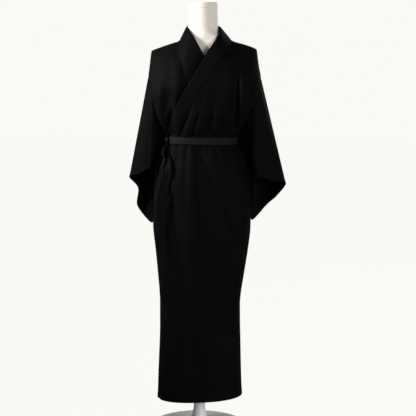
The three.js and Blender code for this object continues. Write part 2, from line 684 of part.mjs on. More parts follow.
function collar() {
  const [leftNape, rightNape] = [collarNape('left'), collarNape('right')];
  const over = collarFront('over');
  const rows = [...collarFront('under'), ...leftNape.slice(1).reverse(), ...rightNape, ...over.reverse()];
  const level = spotsFromPoints(rows.map((row) => row.map((spot) => spot.point)), false);
  const spots = rows.map((row, r) => row.map((spot, c) => {
    const own = spot.normal && (c === 0 || spot.point.z < CHEST_TOP);
    return { point: spot.point, normal: own ? spot.normal : level[r][c].normal };
  }));
  return wall(trim(spots, { first: true }));
}

// Belt: a flat ring round the waist, just outside the layer on top
const BELT_CLEAR = 0.8;
const WAIST_EDGE = 1071;    // just below the belt, where the waist is as wide as anywhere under it
const BELT_SEGMENTS = 48;
function belt() {
  const grid = [-1, 0, 1].map((level) => {
    const z = BELT_HEIGHT + (level * BELT_WIDTH) / 2;
    return Array.from({ length: BELT_SEGMENTS }, (_, k) => {
      const spot = spotAtAngle((360 * k) / BELT_SEGMENTS - 180, WAIST_EDGE, 'over');
      spot.normal.setZ(0).normalize();
      spot.point.addScaledVector(spot.normal, BELT_CLEAR + CLOTH);
      return { point: spot.point.setZ(z), normal: spot.normal };
    });
  });
  return wall(grid, CLOTH, true);
}

// Knot on the belt at the wearer's right front, with a short loop and two tails hanging from it
const KNOT = { angle: -68, width: 28, height: 26, depth: 15, around: 14, down: 9 };
function besideBody(angle, z, out) {
  const atBelt = Math.abs(z - BELT_HEIGHT) < BELT_WIDTH / 2;
  const spot = spotAtAngle(angle, atBelt ? WAIST_EDGE : z, 'over');
  const normal = spot.normal.setZ(0).normalize();
  return { point: spot.point.addScaledVector(normal, BELT_CLEAR + CLOTH + out).setZ(z), normal };
}

function knot() {
  const shape = new THREE.SphereGeometry(0.5, KNOT.around, KNOT.down);
  shape.scale(KNOT.width, KNOT.depth, KNOT.height);
  const { point, normal } = besideBody(KNOT.angle, BELT_HEIGHT, SEAM_GAP + KNOT.depth / 2);
  const mesh = new THREE.Mesh(shape);
  mesh.position.copy(point);
  mesh.rotation.z = Math.atan2(normal.y, normal.x) + Math.PI / 2;
  return mesh;
}

// Loop: a closed strip of belt cloth, from just under the knot. Its outline is given by its distance from the body,
// its height and its angle, and its width runs along the body.
const LOOP = [
  { out: 9.8, z: 1073.1, angle: -68 },
  { out: 14.4, z: 1068, angle: -67.5 },
  { out: 17.5, z: 1050, angle: -62.5 },
  { out: 16, z: 1036, angle: -59 },
  { out: 12, z: 1029, angle: -58 },
  { out: 8, z: 1034, angle: -59 },
  { out: 6.5, z: 1050, angle: -62.5 },
  { out: 6.2, z: 1067, angle: -67 },
];
const LOOP_WIDTH = { top: 7, bottom: 30, fall: 40 };
const LOOP_STEPS = 3;       // steps between two rows of the loop's outline
function beltLoop() {
  const middle = closedCurve(LOOP.map((row) => besideBody(row.angle, row.z, row.out).point), LOOP_STEPS);
  const { normal } = besideBody(KNOT.angle, BELT_HEIGHT, 0);
  const sideways = vec(-normal.y, normal.x, 0);
  const grid = [-1, 0, 1].map((edge) => middle.map((point) => {
    const fall = clamp((LOOP[0].z - point.z) / LOOP_WIDTH.fall, 0, 1);
    const width = lerp(LOOP_WIDTH.top, LOOP_WIDTH.bottom, fall);
    return point.clone().addScaledVector(sideways, (edge * width) / 2);
  }));
  return wall(spotsFromPoints(grid, true), BELT_CLOTH, true);
}

// Tails from the knot down behind the loop: the middle of the strip at each height by its angle round the body and
// its distance from it, the direction of its width seen from above, and its width
const TAIL_A = [
  { angle: -71.3, out: 7, z: 1073.3, turn: -67, width: 6 },
  { angle: -69, out: 3, z: 1060, turn: -66, width: 8 },
  { angle: -64.5, out: 2.5, z: 1045, turn: -62, width: 10 },
  { angle: -58, out: 4, z: 1024, turn: -60, width: 13 },
  { angle: -54.5, out: 6, z: 985, turn: -66, width: 20 },
  { angle: -55.4, out: 7, z: 940, turn: -66, width: 23 },
  { angle: -57.9, out: 9, z: 900, turn: -62, width: 24 },
  { angle: -59.3, out: 10, z: 872, turn: -58, width: 24 },
];
const TAIL_B = [
  { angle: -64.7, out: 7, z: 1073.3, turn: -62, width: 6 },
  { angle: -62, out: 3, z: 1060, turn: -60, width: 8 },
  { angle: -56, out: 3, z: 1045, turn: -50, width: 10 },
  { angle: -49, out: 4, z: 1030, turn: -38, width: 11 },
  { angle: -44, out: 7, z: 1018, turn: -28, width: 13 },
  { angle: -42.6, out: 14, z: 985, turn: -18, width: 18 },
  { angle: -44.8, out: 15, z: 940, turn: -10, width: 22 },
  { angle: -46.8, out: 15, z: 890, turn: -6, width: 24.5 },
  { angle: -47.8, out: 14, z: 820, turn: -4, width: 24.5 },
  { angle: -48.4, out: 16, z: 750, turn: -4, width: 24.5 },
  { angle: -49.3, out: 20, z: 691, turn: -4, width: 24.5 },
];
const TAIL_STEPS = 4;  // rows of the strip between two rows of its table
function tail(table) {
  const rows = [];
  const steps = TAIL_STEPS * (table.length - 1);
  const ascending = table.slice().reverse();
  for (let k = 0; k <= steps; k += 1) {
    const z = lerp(table[0].z, table[table.length - 1].z, k / steps);
    const [angle, out, turn, width] = ['angle', 'out', 'turn', 'width'].map((key) => read(ascending, key, z));
    const { point } = besideBody(angle, z, out);
    const across = vec(Math.cos(radians(turn)), Math.sin(radians(turn)), 0);
    rows.push([-1, 0, 1].map((edge) => point.clone().addScaledVector(across, (edge * width) / 2)));
  }
  return wall(spotsFromPoints(rows, false), BELT_CLOTH);
}

// Closed solid through level rings of points, from the lowest to the highest
function loft(rings) {
  const count = rings[0].length;
  const positions = [];
  rings.forEach((ring) => ring.forEach((point) => positions.push(...point.toArray())));
  const index = [];
  for (let r = 0; r < rings.length - 1; r += 1) {
    for (let c = 0; c < count; c += 1) {
      const [a, b] = [r * count + c, r * count + ((c + 1) % count)];
      index.push(a, b, b + count, a, b + count, a + count);
    }
  }
  for (let c = 1; c < count - 1; c += 1) {
    const top = (rings.length - 1) * count;
    index.push(0, c + 1, c, top, top + c, top + c + 1);
  }
  return closedGeometry(positions, index);
}

// Distance from the middle at which the form's shoulder line comes down to a height
const HALVINGS = 30;
function formReach(side, z) {
  let [near, far] = [FORM_TOP_LINE[0].z, FORM_TOP_LINE[FORM_TOP_LINE.length - 1].z];
  for (let k = 0; k < HALVINGS; k += 1) {
    const middle = (near + far) / 2;
    if (read(FORM_TOP_LINE, side, middle) > z) near = middle;
    else far = middle;
  }
  return Math.min(near, read(FORM, 'side', z));
}

const FORM_SEGMENTS = 28;
const NECK = { blendStart: 1440, blendHeight: 35 };
const FORM_LEVELS = [845, 850, 860, 880, 915, 960, 1005, 1045, 1086, 1130, 1175, 1220, 1260, 1300, 1340, 1370,
  1392, 1402, 1409, 1416, 1423, 1430, 1436, 1443, 1452, 1464, 1478, 1492, 1522, NECK_TOP];

function formTorso() {
  const rings = FORM_LEVELS.map((z) => Array.from({ length: FORM_SEGMENTS }, (_, k) => {
    const turn = (2 * Math.PI * k) / FORM_SEGMENTS;
    const [across, out] = [Math.sin(turn), -Math.cos(turn)];
    const side = across < 0 ? 'left' : 'right';
    const x = Math.sign(across) * formReach(side, z) * Math.abs(across) ** (2 / ROUND);
    const depth = read(FORM, out < 0 ? 'front' : 'back', z);
    const width = read(FORM, 'side', z);
    const reach = Math.max(0, 1 - Math.abs(x / width) ** ROUND) ** (1 / ROUND);
    const below = read(FORM_TOP_LINE, side, Math.abs(x)) - z;
    const roll = Math.sqrt(1 - (1 - clamp(below / SHOULDER_ROLL, 0, 1)) ** 2);
    const radius = formReach(side, z);
    const neck = smooth((z - NECK.blendStart) / NECK.blendHeight);
    const y = Math.sign(out) * depth * reach * roll;
    return vec(lerp(x, radius * across, neck), lerp(y, radius * out, neck), z);
  }));
  return loft(rings);
}

// Round pieces of the stand, from their outlines of radius and height
const CAP_EDGE = { radius: 5, bevel: 1.5 };
const CAP_OUTLINE = [
  { r: 0, z: CAP_BOTTOM },
  { r: CAP_RADIUS, z: CAP_BOTTOM },
  { r: CAP_RADIUS, z: CAP_TOP - CAP_EDGE.radius },
  { r: CAP_RADIUS - CAP_EDGE.bevel, z: CAP_TOP - CAP_EDGE.bevel },
  { r: CAP_RADIUS - CAP_EDGE.radius, z: CAP_TOP },
  { r: 0, z: CAP_TOP },
];
const POLE_OUTLINE = [
  { r: 0, z: POLE_BOTTOM },
  { r: POLE_RADIUS, z: POLE_BOTTOM },
  { r: POLE_RADIUS, z: FORM_BOTTOM - SEAM_GAP },
  { r: 0, z: FORM_BOTTOM - SEAM_GAP },
];
const BASE_EDGE = 3;
const BASE_OUTLINE = [
  { r: 0, z: 0 },
  { r: BASE_RADIUS - BASE_EDGE, z: 0 },
  { r: BASE_RADIUS, z: BASE_EDGE },
  { r: BASE_RADIUS, z: BASE_THICKNESS - BASE_EDGE },
  { r: BASE_RADIUS - BASE_EDGE, z: BASE_THICKNESS },
  { r: 90, z: 14 },
  { r: 56, z: 20 },
  { r: 40, z: 30 },
  { r: 29, z: 50 },
  { r: 23, z: 74 },
  { r: POLE_RADIUS, z: POLE_BOTTOM - SEAM_GAP },
  { r: 0, z: POLE_BOTTOM - SEAM_GAP },
];
function turned(outline, segments) {
  const geometry = new THREE.LatheGeometry(outline.map(({ r, z }) => new THREE.Vector2(r, z)), segments);
  return geometry.rotateX(Math.PI / 2);
}

const SEGMENTS = { cap: 28, pole: 24, base: 36 };

const model = new THREE.Group();
const blackCloth = new THREE.MeshStandardMaterial({ color: 0x0d0e11, roughness: 0.85, metalness: 0 });
const beltCloth = new THREE.MeshStandardMaterial({ color: 0x17171b, roughness: 0.7, metalness: 0 });
const creamCover = new THREE.MeshStandardMaterial({ color: 0xe9e6df, roughness: 0.7, metalness: 0 });
const whitePaint = new THREE.MeshStandardMaterial({ color: 0xf1f1ef, roughness: 0.4, metalness: 0 });

function place(name, piece, material) {
  const mesh = piece.isMesh ? piece : new THREE.Mesh(piece);
  mesh.name = name;
  mesh.material = material;
  model.add(mesh);
}

const fronts = { left: frontPanel('over'), right: frontPanel('under') };
const backs = { left: backPanel('right'), right: backPanel('left') };
place('back_left', wall(backs.left), blackCloth);
place('back_right', wall(backs.right), blackCloth);
place('front_left', wall(fronts.left), blackCloth);
place('front_right', wall(fronts.right), blackCloth);
place('overlap_left', wall(overlapPanel('over')), blackCloth);
place('overlap_right', wall(overlapPanel('under')), blackCloth);
place('sleeve_left', wall(sleeve('right', fronts.left, backs.left, MOUTH_RIGHT), CLOTH, true), blackCloth);
place('sleeve_right', wall(sleeve('left', fronts.right, backs.right, MOUTH_LEFT), CLOTH, true), blackCloth);
place('collar', collar(), blackCloth);
place('belt', belt(), beltCloth);
place('belt_knot', knot(), beltCloth);
place('belt_loop', beltLoop(), beltCloth);
place('belt_tail_a', tail(TAIL_A), beltCloth);
place('belt_tail_b', tail(TAIL_B), beltCloth);
place('form_torso', formTorso(), creamCover);
place('neck_cap', turned(CAP_OUTLINE, SEGMENTS.cap), whitePaint);
place('stand_pole', turned(POLE_OUTLINE, SEGMENTS.pole), whitePaint);
place('stand_base', turned(BASE_OUTLINE, SEGMENTS.base), whitePaint);

export default model;
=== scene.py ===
"""Black wrapped kimono on a limbless dress form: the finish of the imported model.

Sizes are in millimetres, +Z up, the front faces -Y and +X is the wearer's left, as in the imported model.
Left and right in the names of pieces are the wearer's; in tables, left and right are the viewer's.
"""
import math

import bpy
import numpy as np
from mathutils import Matrix, Vector


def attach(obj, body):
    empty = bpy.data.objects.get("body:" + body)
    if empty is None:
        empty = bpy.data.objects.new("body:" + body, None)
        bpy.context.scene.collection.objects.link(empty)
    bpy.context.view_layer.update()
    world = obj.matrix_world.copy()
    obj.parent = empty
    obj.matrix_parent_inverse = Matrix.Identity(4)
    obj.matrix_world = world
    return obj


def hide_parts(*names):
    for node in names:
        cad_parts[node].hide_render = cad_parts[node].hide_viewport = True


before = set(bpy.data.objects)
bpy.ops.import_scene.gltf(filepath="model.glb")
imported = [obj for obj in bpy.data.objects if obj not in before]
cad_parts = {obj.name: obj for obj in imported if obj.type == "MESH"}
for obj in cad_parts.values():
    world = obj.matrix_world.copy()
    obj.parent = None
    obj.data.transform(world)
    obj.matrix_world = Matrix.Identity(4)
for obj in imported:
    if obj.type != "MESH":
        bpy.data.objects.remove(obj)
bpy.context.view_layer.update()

MM = 0.001


def columns(table):
    """A written table as one array for each column. Its first line names the columns."""
    names, *rows = (line.split() for line in table.strip().splitlines())
    return {name: np.array(values, float) for name, values in zip(names, zip(*rows))}


# Driving sizes, the same as the solids'
CLOTH = 1.3
LAYER_SINK = 7.0
UNDERARM = 1130.0
ROUND = 2.3
SHOULDER_ROLL = 115.0
BELT_HEIGHT = 1086.0
BELT_WIDTH = 24.5
BAND_END = 1025.0
BAND_TURN = 18.0
WAIST_EDGE = 1071.0
HEM_MIDDLE = 136.0
HEM_SLOPE = 0.05
YOKE_ROWS = 12
STRIP_TIP_ROW = 2
NECK_TOP = 1551.7
CAP_BOTTOM = 1552.0
CAP_TOP = 1572.0
CAP_RADIUS = 50.5
FORM_BOTTOM = 845.0
POLE_RADIUS = 20.5
POLE_BOTTOM = 96.3
BASE_RADIUS = 185.0
BASE_THICKNESS = 12.0
SEAM_GAP = 0.3

# Outside of the cloth at each height
BODY = columns("""
z left right front back
120 156 159 108 112
220 153.5 154 107 112
352 149.4 149.3 107 112
443 148.7 146.5 108 114
508 149.3 147 110 117
610 158 161 115 122
688 166 172 120 127
770 175 180 125 131
880 173 176 126 130
990 158 161 118 115
1045 138 143 106 96
1071 124 126 99 87
1101 124 126 99 87
1130 150 145 110 96
1180 180 182 120 108
1240 199 215 124 116
1310 194 209 120 115
1352 189 201 109 106
1401 184 194 92 90
1440 182 191 77 74
1500 182 191 62 62
""")

# Top line of the cloth by distance from the middle, here in the column z
SHOULDER = columns("""
z left right
0 1532 1532
40 1513 1515
58 1489 1496
72 1460 1474
84 1438 1456
104 1430 1439
145 1415.5 1427
181 1401.5 1415
192 1392 1409
""")
SIDES = {
    "left": {"sign": -1, "neck": 84, "neck_z": 1438, "tip": 181, "tip_z": 1401.5, "arm_top": 1310},
    "right": {"sign": 1, "neck": 104, "neck_z": 1439, "tip": 189, "tip_z": 1411, "arm_top": 1308},
}
ARMHOLE_INSET = 0.1

# Angles round the body of each layer's free edge, overlap seam and side seam: 0 is the front and 90 the
# viewer's right
OVER_LOW = columns("""
z edge strip side
120 -66 2 34
231 -72 -1.5 40
303 -76 -6 52
400 -82 -11 76
520 -89 -17.5 90
719 -97 -26.5 90
865 -97 -35 90
1000 -80 -41 90
1086 -54 -38 90
1130 -31 -24 90
""")
UNDER_LOW = columns("""
z edge strip side
120 22 -34 -90
303 36 -20 -90
520 62 2 -90
865 64 12 -90
1000 58 28 -90
1086 54 38 -90
1130 33 25 -90
""")

# Collar seam on the chest and the band's free edge, as X at each height
OVER_HIGH = columns("""
z seam free
1130 -84 -117.5
1169 -60 -106
1249 -12 -72
1277 5 -57
1328 37 -27
1384 76 6
1412 92 24
1439 104 42
1468 104 60
1488 104 62
""")
UNDER_HIGH = columns("""
z seam free
1130 84 116.5
1200 44 98
1262 9 72
1312 -20 44
1358 -47 18
1384 -62 6
1412 -74 -9
1438 -84 -24
1450 -84 -30
1470 -84 -46
1488 -84 -59
""")

# Viewer's side, low table and high table of each front layer
LAYERS = {"over": ("right", OVER_LOW, OVER_HIGH), "under": ("left", UNDER_LOW, UNDER_HIGH)}

# How the lower layer sinks under the one on top, by angle and by X, and how the band begins, by height
SINK = {"turn": 12, "turn_span": 10, "x": 22, "x_span": 16, "band": 55, "band_span": 40}

# Large folds of the solids, each along a line, with its width and rise (below zero is a trough)
FRONT_FOLDS = columns("""
x0 z0 x1 z1 width rise
-34 1062 -30 660 16 3.5
-14 1050 105 700 16 -5
22 1040 128 760 20 4
-112 905 -8 215 20 -7
-82 930 16 215 26 5
-62 1106 -22 1215 9 5
-26 1106 14 1235 9 5
44 1106 58 1220 9 4
12 1106 32 1190 8 -4
-80 1106 -46 1195 8 -4
106 1140 112 1290 13 -7
-134 1175 -122 1280 13 -7
""")
BACK_FOLDS = columns("""
x0 z0 x1 z1 width rise
-70 1104 -54 1240 12 5
-28 1104 -20 1215 11 4
24 1104 34 1250 12 5
72 1104 78 1210 11 4
-60 1060 -88 620 20 5
10 1060 22 560 22 5
66 1060 104 700 20 4
-36 900 -52 210 26 -5
78 760 70 200 28 -5
""")
FOLDS = {-1: FRONT_FOLDS, 1: BACK_FOLDS}
FADE = {
    "side_start": 0.8, "side_span": 0.18, "belt_gap": 1, "belt": 30,
    "early": 30, "start": 60, "late": 40, "end": 120, "edge": 1.5,
}

# Creases that only the dressed model has. bow bends the line sideways in its middle, and lean above zero
# makes the crease crisp on the viewer's left and soft on the right. fade is the length over which the end
# away from the belt runs out.
FRONT_CREASES = columns("""
x0 z0 x1 z1 width rise bow lean fade
-38 1070 -33 690 9 4 0 -0.5 60
-24 1066 -22 700 8 -5 0 0.5 60
-10 1064 112 716 11 -6 8 0.3 70
22 1040 128 760 20 -3.2 0 0 80
18 1074 27 1018 6 -3.6 0 0.3 40
39 1074 66 985 6 -3.4 2 0.3 50
71 1074 86 1026 5 -3.4 0 0 36
97 1074 112 1000 7 -2.8 0 0 44
28 1072 40 1000 7 2 0 0 50
56 1072 80 1010 6 2.2 0 0 44
-52 1074 -56 1010 6 -4 0 0.3 40
-66 1072 -74 930 7 3.2 0 0 30
-84 1070 -96 940 7 -3.6 0 0 30
-106 900 -4 235 30 -8.5 8 -0.62 110
-60 900 34 230 26 2.5 6 0.3 140
140 560 95 150 5 3 0 0 60
-140 800 -134 180 16 3.2 -4 0 120
-96 640 -84 180 18 -2.6 -3 0 120
40 700 66 260 26 2.2 -6 0 120
74 640 96 240 15 -2.4 3 0 120
4 640 44 330 14 -2.2 3 0 90
-16 1204 -58 1100 6 4.6 2 0.4 24
20 1218 -21 1100 6 4.6 2 0.4 26
53 1206 43 1100 8 3 0 0.3 34
-46 1190 -77 1100 5 -5 0 0 20
-12 1190 -42 1100 5 -5 0 0.2 20
28 1188 7 1100 5 -4 0 0.2 30
46 1170 33 1100 5 -3.4 0 0 24
74 1194 63 1100 6 -4.8 0 0 22
92 1180 88 1100 6 3.6 0 0 22
-78 1404 -60 1290 8 -5 -3 0.4 30
-92 1380 -84 1170 20 4 0 0 60
-107 1292 -101 1104 15 -13 -3 -0.5 60
-150 1310 -154 1140 11 6 0 0.2 60
122 1350 114 1125 13 -12 3 -0.4 60
142 1345 139 1150 9 10 0 -0.2 60
170 1330 164 1180 12 -10 0 -0.3 50
88 1330 70 1170 16 2.6 3 0 60
60 1390 78 1280 12 -2.4 0 0 50
-120 1400 -110 1290 14 -2.2 0 0 50
-150 1390 -160 1290 10 -2 0 0 40
""")
BACK_CREASES = columns("""
x0 z0 x1 z1 width rise bow lean fade
-96 1072 -112 900 8 -3 0 0 30
-74 1070 -92 800 9 3 0 0.2 60
-50 1072 -62 930 7 -3 0 0 30
-30 1070 -36 860 8 2.6 0 -0.2 40
-12 1072 -16 960 7 -3 0 0 30
14 1070 20 760 9 2.8 0 0.3 60
34 1072 44 940 7 -3 0 0 30
54 1070 70 880 8 2.6 0 0 40
78 1072 96 900 8 -3 0 0.2 40
-88 1200 -76 1100 7 -3.4 0 0 24
-60 1230 -62 1100 6 3.2 2 0.3 28
-44 1180 -46 1100 6 -3.4 0 0 20
-14 1220 -18 1100 6 3 0 0 26
4 1190 2 1100 6 -3.6 0 0 20
30 1240 26 1100 7 3.2 -2 0.3 30
50 1180 46 1100 6 -3.2 0 0 20
70 1220 66 1100 7 3 0 0 26
90 1200 86 1100 7 -3.2 0 0 24
-130 1330 -110 1170 12 -3 4 0 50
134 1330 112 1160 12 -3 -4 0 50
-110 700 -120 240 20 2.4 4 0 110
-10 620 -4 220 22 2 -4 0 110
40 780 36 260 18 -1.8 3 0 110
116 800 108 300 18 2.2 3 0 110
""")
CREASES = {-1: FRONT_CREASES, 1: BACK_CREASES}
CREASE_FADE = {
    "side_start": 0.9, "side_span": 0.1, "belt_gap": -1, "belt": 9,
    "early": 8, "late": 12, "span": 16, "narrow": 0.8, "widen": 0.5,
}

# Free end of each sleeve, eight points round the mouth from the outer tip over the front to the back
MOUTH_LEFT = (
    (-261.5, -2, 949),
    (-224, -42, 965),
    (-186, -56, 985),
    (-186, -8, 905),
    (-182, 82, 768),
    (-214, 100, 793),
    (-238, 84, 833),
    (-232, 42, 902),
)
MOUTH_RIGHT = (
    (305.5, -2, 930),
    (264, -40, 940),
    (196, -58, 958),
    (186, -6, 900),
    (188, 80, 782),
    (212, 98, 800),
    (246, 84, 842),
    (275, 44, 876),
)

# Dress form under the cloth
FORM = columns("""
z side front back
845 138 92 98
858 150 102 108
900 155 108 112
960 148 102 104
1020 128 89 86
1086 110 80 72
1130 114 86 76
1180 126 96 84
1240 142 106 92
1300 154 101 95
1350 164 88 88
1395 171 74 74
1440 172 61 60
1490 172 53.6 53.6
1552 172 50.5 50.5
""")
FORM_TOP_LINE = columns("""
z left right
50.5 1552 1552
53.6 1490 1490
58 1466 1470
66 1449 1457
80 1436 1444
104 1427.2 1435.2
145 1412.7 1423.2
171 1400 1410
""")


def smooth(value):
    """0 to 1 with a soft start and end."""
    t = np.clip(value, 0.0, 1.0)
    return t * t * (3 - 2 * t)


def read(table, column, height):
    """Value of one column at a height, on a smooth curve through the table's rows."""
    z, v = table["z"], table[column]
    last = len(z) - 1
    h = np.clip(height, z[0], z[-1])
    i = np.clip(np.searchsorted(z, h, side="left") - 1, 0, last - 1)
    before = np.maximum(np.arange(last + 1) - 1, 0)
    after = np.minimum(np.arange(last + 1) + 1, last)
    slope = (v[after] - v[before]) / (z[after] - z[before])
    span = z[i + 1] - z[i]
    t = (h - z[i]) / span
    rise = v[i + 1] - v[i]
    curve = (1 - t) * slope[i] * span - t * slope[i + 1] * span
    return v[i] + rise * t + t * (1 - t) * (curve + (2 * t - 1) * rise)


def by_side(table, x, height):
    return np.where(x < 0, read(table, "left", height), read(table, "right", height))


def by_face(table, y, height):
    return np.where(y < 0, read(table, "front", height), read(table, "back", height))


def half_width(x, z):
    return by_side(BODY, x, z)


def bell(away, reach):
    """1 in the middle, running out to 0 on both sides."""
    return np.exp(-((away / reach) ** 2))


def together(*values):
    """Numbers and arrays as arrays of one shape."""
    return np.broadcast_arrays(*(np.asarray(value, float) for value in values))


def beside_line(x, z, x0, z0, x1, z1):
    """Length of a line on the cloth, and how far points lie along it and across it."""
    length = math.hypot(x1 - x0, z1 - z0)
    dx, dz = (x1 - x0) / length, (z1 - z0) / length
    return length, (x - x0) * dx + (z - z0) * dz, (z - z0) * dx - (x - x0) * dz


def fade_out(lift, x, z, fade):
    """Lift that runs out toward the side seams and the belt."""
    near_side = 1 - smooth((np.abs(x) / half_width(x, z) - fade["side_start"]) / fade["side_span"])
    clear = smooth((np.abs(z - BELT_HEIGHT) - BELT_WIDTH / 2 - fade["belt_gap"]) / fade["belt"])
    return lift * near_side * clear


def large_folds(face, x, z):
    """Lift by the folds that the solids have too, on one face: -1 is the front and 1 the back."""
    lift = np.zeros(np.broadcast(x, z).shape)
    for x0, z0, x1, z1, width, rise in zip(*FOLDS[face].values()):
        length, along, across = beside_line(x, z, x0, z0, x1, z1)
        ends = smooth((along + FADE["early"]) / FADE["start"])
        ends = ends * smooth((length + FADE["late"] - along) / FADE["end"])
        lift += rise * ends * bell(across, width)
    return fade_out(lift, x, z, FADE)


def creases(face, x, z):
    """Lift by the finer creases: each starts at its upper end, and across counts to the viewer's right."""
    f = CREASE_FADE
    lift = np.zeros(np.broadcast(x, z).shape)
    for x0, z0, x1, z1, width, rise, bow, lean, fade in zip(*CREASES[face].values()):
        length, along, across = beside_line(x, z, x0, z0, x1, z1)
        share = np.clip(along / length, 0, 1)
        across = across - bow * 4 * share * (1 - share)
        near = width * np.where(across < 0, 1 - lean, 1 + lean) * (f["narrow"] + f["widen"] * share)
        if max(z0, z1) > BELT_HEIGHT:
            ends = smooth(along / fade) * smooth((length + f["late"] - along) / f["span"])
        else:
            ends = smooth((along + f["early"]) / f["span"]) * smooth((length - along) / fade)
        lift += rise * ends * bell(across, near)
    return fade_out(lift, x, z, f)


def fold_lift(face, x, z):
    return large_folds(face, x, z) + creases(face, x, z)


def covered_lift(lift, sink):
    """A covered layer follows the troughs of the layer on top, and stays out of its ridges."""
    return np.where(lift > 0, lift * (1 - sink / LAYER_SINK), lift)


def free_angle(z):
    """Angle of the free edge on top: that of the panel, then that of the band sewn to it."""
    return read(OVER_LOW, "edge", z) - BAND_TURN * smooth((z - BAND_END + SINK["band"]) / SINK["band_span"])


def sink_under(layer, inside):
    """Depth of a layer below the one on top, by how far it is inside that one's free edge."""
    return LAYER_SINK * smooth(inside) * (layer == "under")


def squared(value):
    """A sine or cosine bent so that a circle comes out squarer."""
    return np.sign(value) * np.abs(value) ** (2 / ROUND)


def fall_off(ratio, below):
    """Shares of the depth that are left toward the side, and toward the shoulder's top line."""
    reach = np.maximum(0, 1 - np.abs(ratio) ** ROUND) ** (1 / ROUND)
    roll = np.sqrt(np.maximum(0, 1 - (1 - np.clip(below / SHOULDER_ROLL, 0, 1)) ** 2))
    return reach, roll


def at_angle(angle, z, layer="over", lift_of=fold_lift):
    """Points of the cloth at angles round the body, below the underarm."""
    angle, z = together(angle, z)
    sink = sink_under(layer, (angle - free_angle(z) + SINK["turn"]) / SINK["turn_span"])
    x, y = squared(np.sin(np.radians(angle))), -squared(np.cos(np.radians(angle)))
    width = half_width(x, z) - sink
    depth = by_face(BODY, y, z) - sink
    lift = np.where(y < 0, lift_of(-1, x * width, z), lift_of(1, x * width, z))
    lift = covered_lift(lift, sink) * np.minimum(1, np.abs(y) * FADE["edge"])
    return np.stack([x * width, y * depth + np.sign(y) * lift, z], axis=-1)


def on_chest(face, x, z, layer="over"):
    """Points of the cloth by X and height, above the underarm."""
    x, z = together(x, z)
    sink = sink_under(layer, (x - read(OVER_HIGH, "free", z) + SINK["x"]) / SINK["x_span"])
    width = half_width(x, z) - sink
    reach, roll = fall_off(x / width, by_side(SHOULDER, x, np.abs(x)) - sink - z)
    depth = by_face(BODY, face, z) - sink
    lift = covered_lift(fold_lift(face, x, z), sink)
    depth = depth * reach * roll + lift * np.minimum(1, reach * roll * FADE["edge"])
    return np.stack([x, face * depth, z], axis=-1)


# Rows of every body panel: heights as shares of the way from the hem to the underarm, then rows of the yoke
SKIRT = UNDERARM - HEM_MIDDLE
LOW_STEP = 5.0
HEM_FOLD = 14.0
HEM_ROWS = {"reach": 1.6, "count": 12}
HEM_FADE = 8
YOKE_STEPS = 48
LOW_SHARES = np.unique(np.concatenate([
    np.linspace(0, 1, int(SKIRT / LOW_STEP)),
    np.linspace(0, HEM_ROWS["reach"] * HEM_FOLD / SKIRT, HEM_ROWS["count"]),
]))
YOKE = np.linspace(0, YOKE_ROWS, YOKE_STEPS + 1)[1:]


def low_grid(table, start, end, count, layer, lowest=HEM_MIDDLE):
    """Rows from the hem, or from a height, to the underarm, between two columns of angles."""
    heights = HEM_MIDDLE + LOW_SHARES * SKIRT
    if lowest > HEM_MIDDLE:
        heights = np.linspace(lowest, UNDERARM, int((UNDERARM - lowest) / LOW_STEP) + 1)
    first, last = (edge(heights) if callable(edge) else read(table, edge, heights) for edge in (start, end))
    angle = first[:, None] + (last - first)[:, None] * np.linspace(0, 1, count)[None, :]
    z = np.broadcast_to(heights[:, None], angle.shape)
    if lowest == HEM_MIDDLE:
        x = at_angle(angle, z, layer)[..., 0]
        z = z + HEM_SLOPE * x * ((UNDERARM - z) / SKIRT) ** HEM_FADE
    return at_angle(angle, z, layer)


def armhole(side, row):
    s = SIDES[side]
    turn = np.pi * row / YOKE_ROWS
    z = UNDERARM + (s["arm_top"] - UNDERARM) * (1 - np.cos(turn)) / 2
    x = s["sign"] * read(BODY, side, z) * (1 - ARMHOLE_INSET * np.sin(turn) ** 2)
    return x, z


def climb(row):
    """Share of the way from the underarm to the neck at a row of the yoke."""
    return np.sin(np.pi / 2 * row / YOKE_ROWS)


def chest_height(row, side):
    return UNDERARM + (SIDES[side]["neck_z"] - UNDERARM) * climb(row)


NAPE_SHARE = 3 / 12
NECK_MARGIN = 3
TIP_BEND = 0.55


def top_line(side, share, face):
    """X and height along a panel's top: round the nape on the back, then over the shoulder to the armhole."""
    s = SIDES[side]
    start = NAPE_SHARE if face > 0 else 0
    slope = s["tip"] - s["neck"]
    drop = s["tip_z"] - s["arm_top"]
    way = (share - start) / (1 - start) * (slope + drop)
    flat_x = s["neck"] + np.maximum(way, 0)
    down = np.clip((way - slope) / drop, 0, 1)
    arm_top = read(BODY, side, s["arm_top"])
    down_z = s["tip_z"] + (s["arm_top"] - s["tip_z"]) * down
    down_x = np.minimum(read(BODY, side, down_z), s["tip"] + (arm_top - s["tip"]) * down ** TIP_BEND)
    down_x = np.where(down < 1, down_x, arm_top)
    x = np.where(way <= slope, flat_x, down_x)
    z = np.where(way <= slope, read(SHOULDER, side, flat_x), down_z)
    if face > 0:
        nape = s["neck"] * np.sin(np.radians(90 * np.clip(share / NAPE_SHARE, 0, 1)))
        x = np.where(share < start, nape, x)
        z = np.where(share < start, s["neck_z"], z)
    return s["sign"] * x, z


def strip_on_chest(layer, row):
    """Seam of the overlap panel on the chest, which runs into the collar seam at the panel's tip."""
    side, low, high = LAYERS[layer]
    z = chest_height(row, side)
    foot = at_angle(read(low, "strip", UNDERARM), UNDERARM, layer)[..., 0]
    left = np.maximum(0, 1 - row / STRIP_TIP_ROW)
    return read(high, "seam", z) + (foot - read(high, "seam", UNDERARM)) * left, z


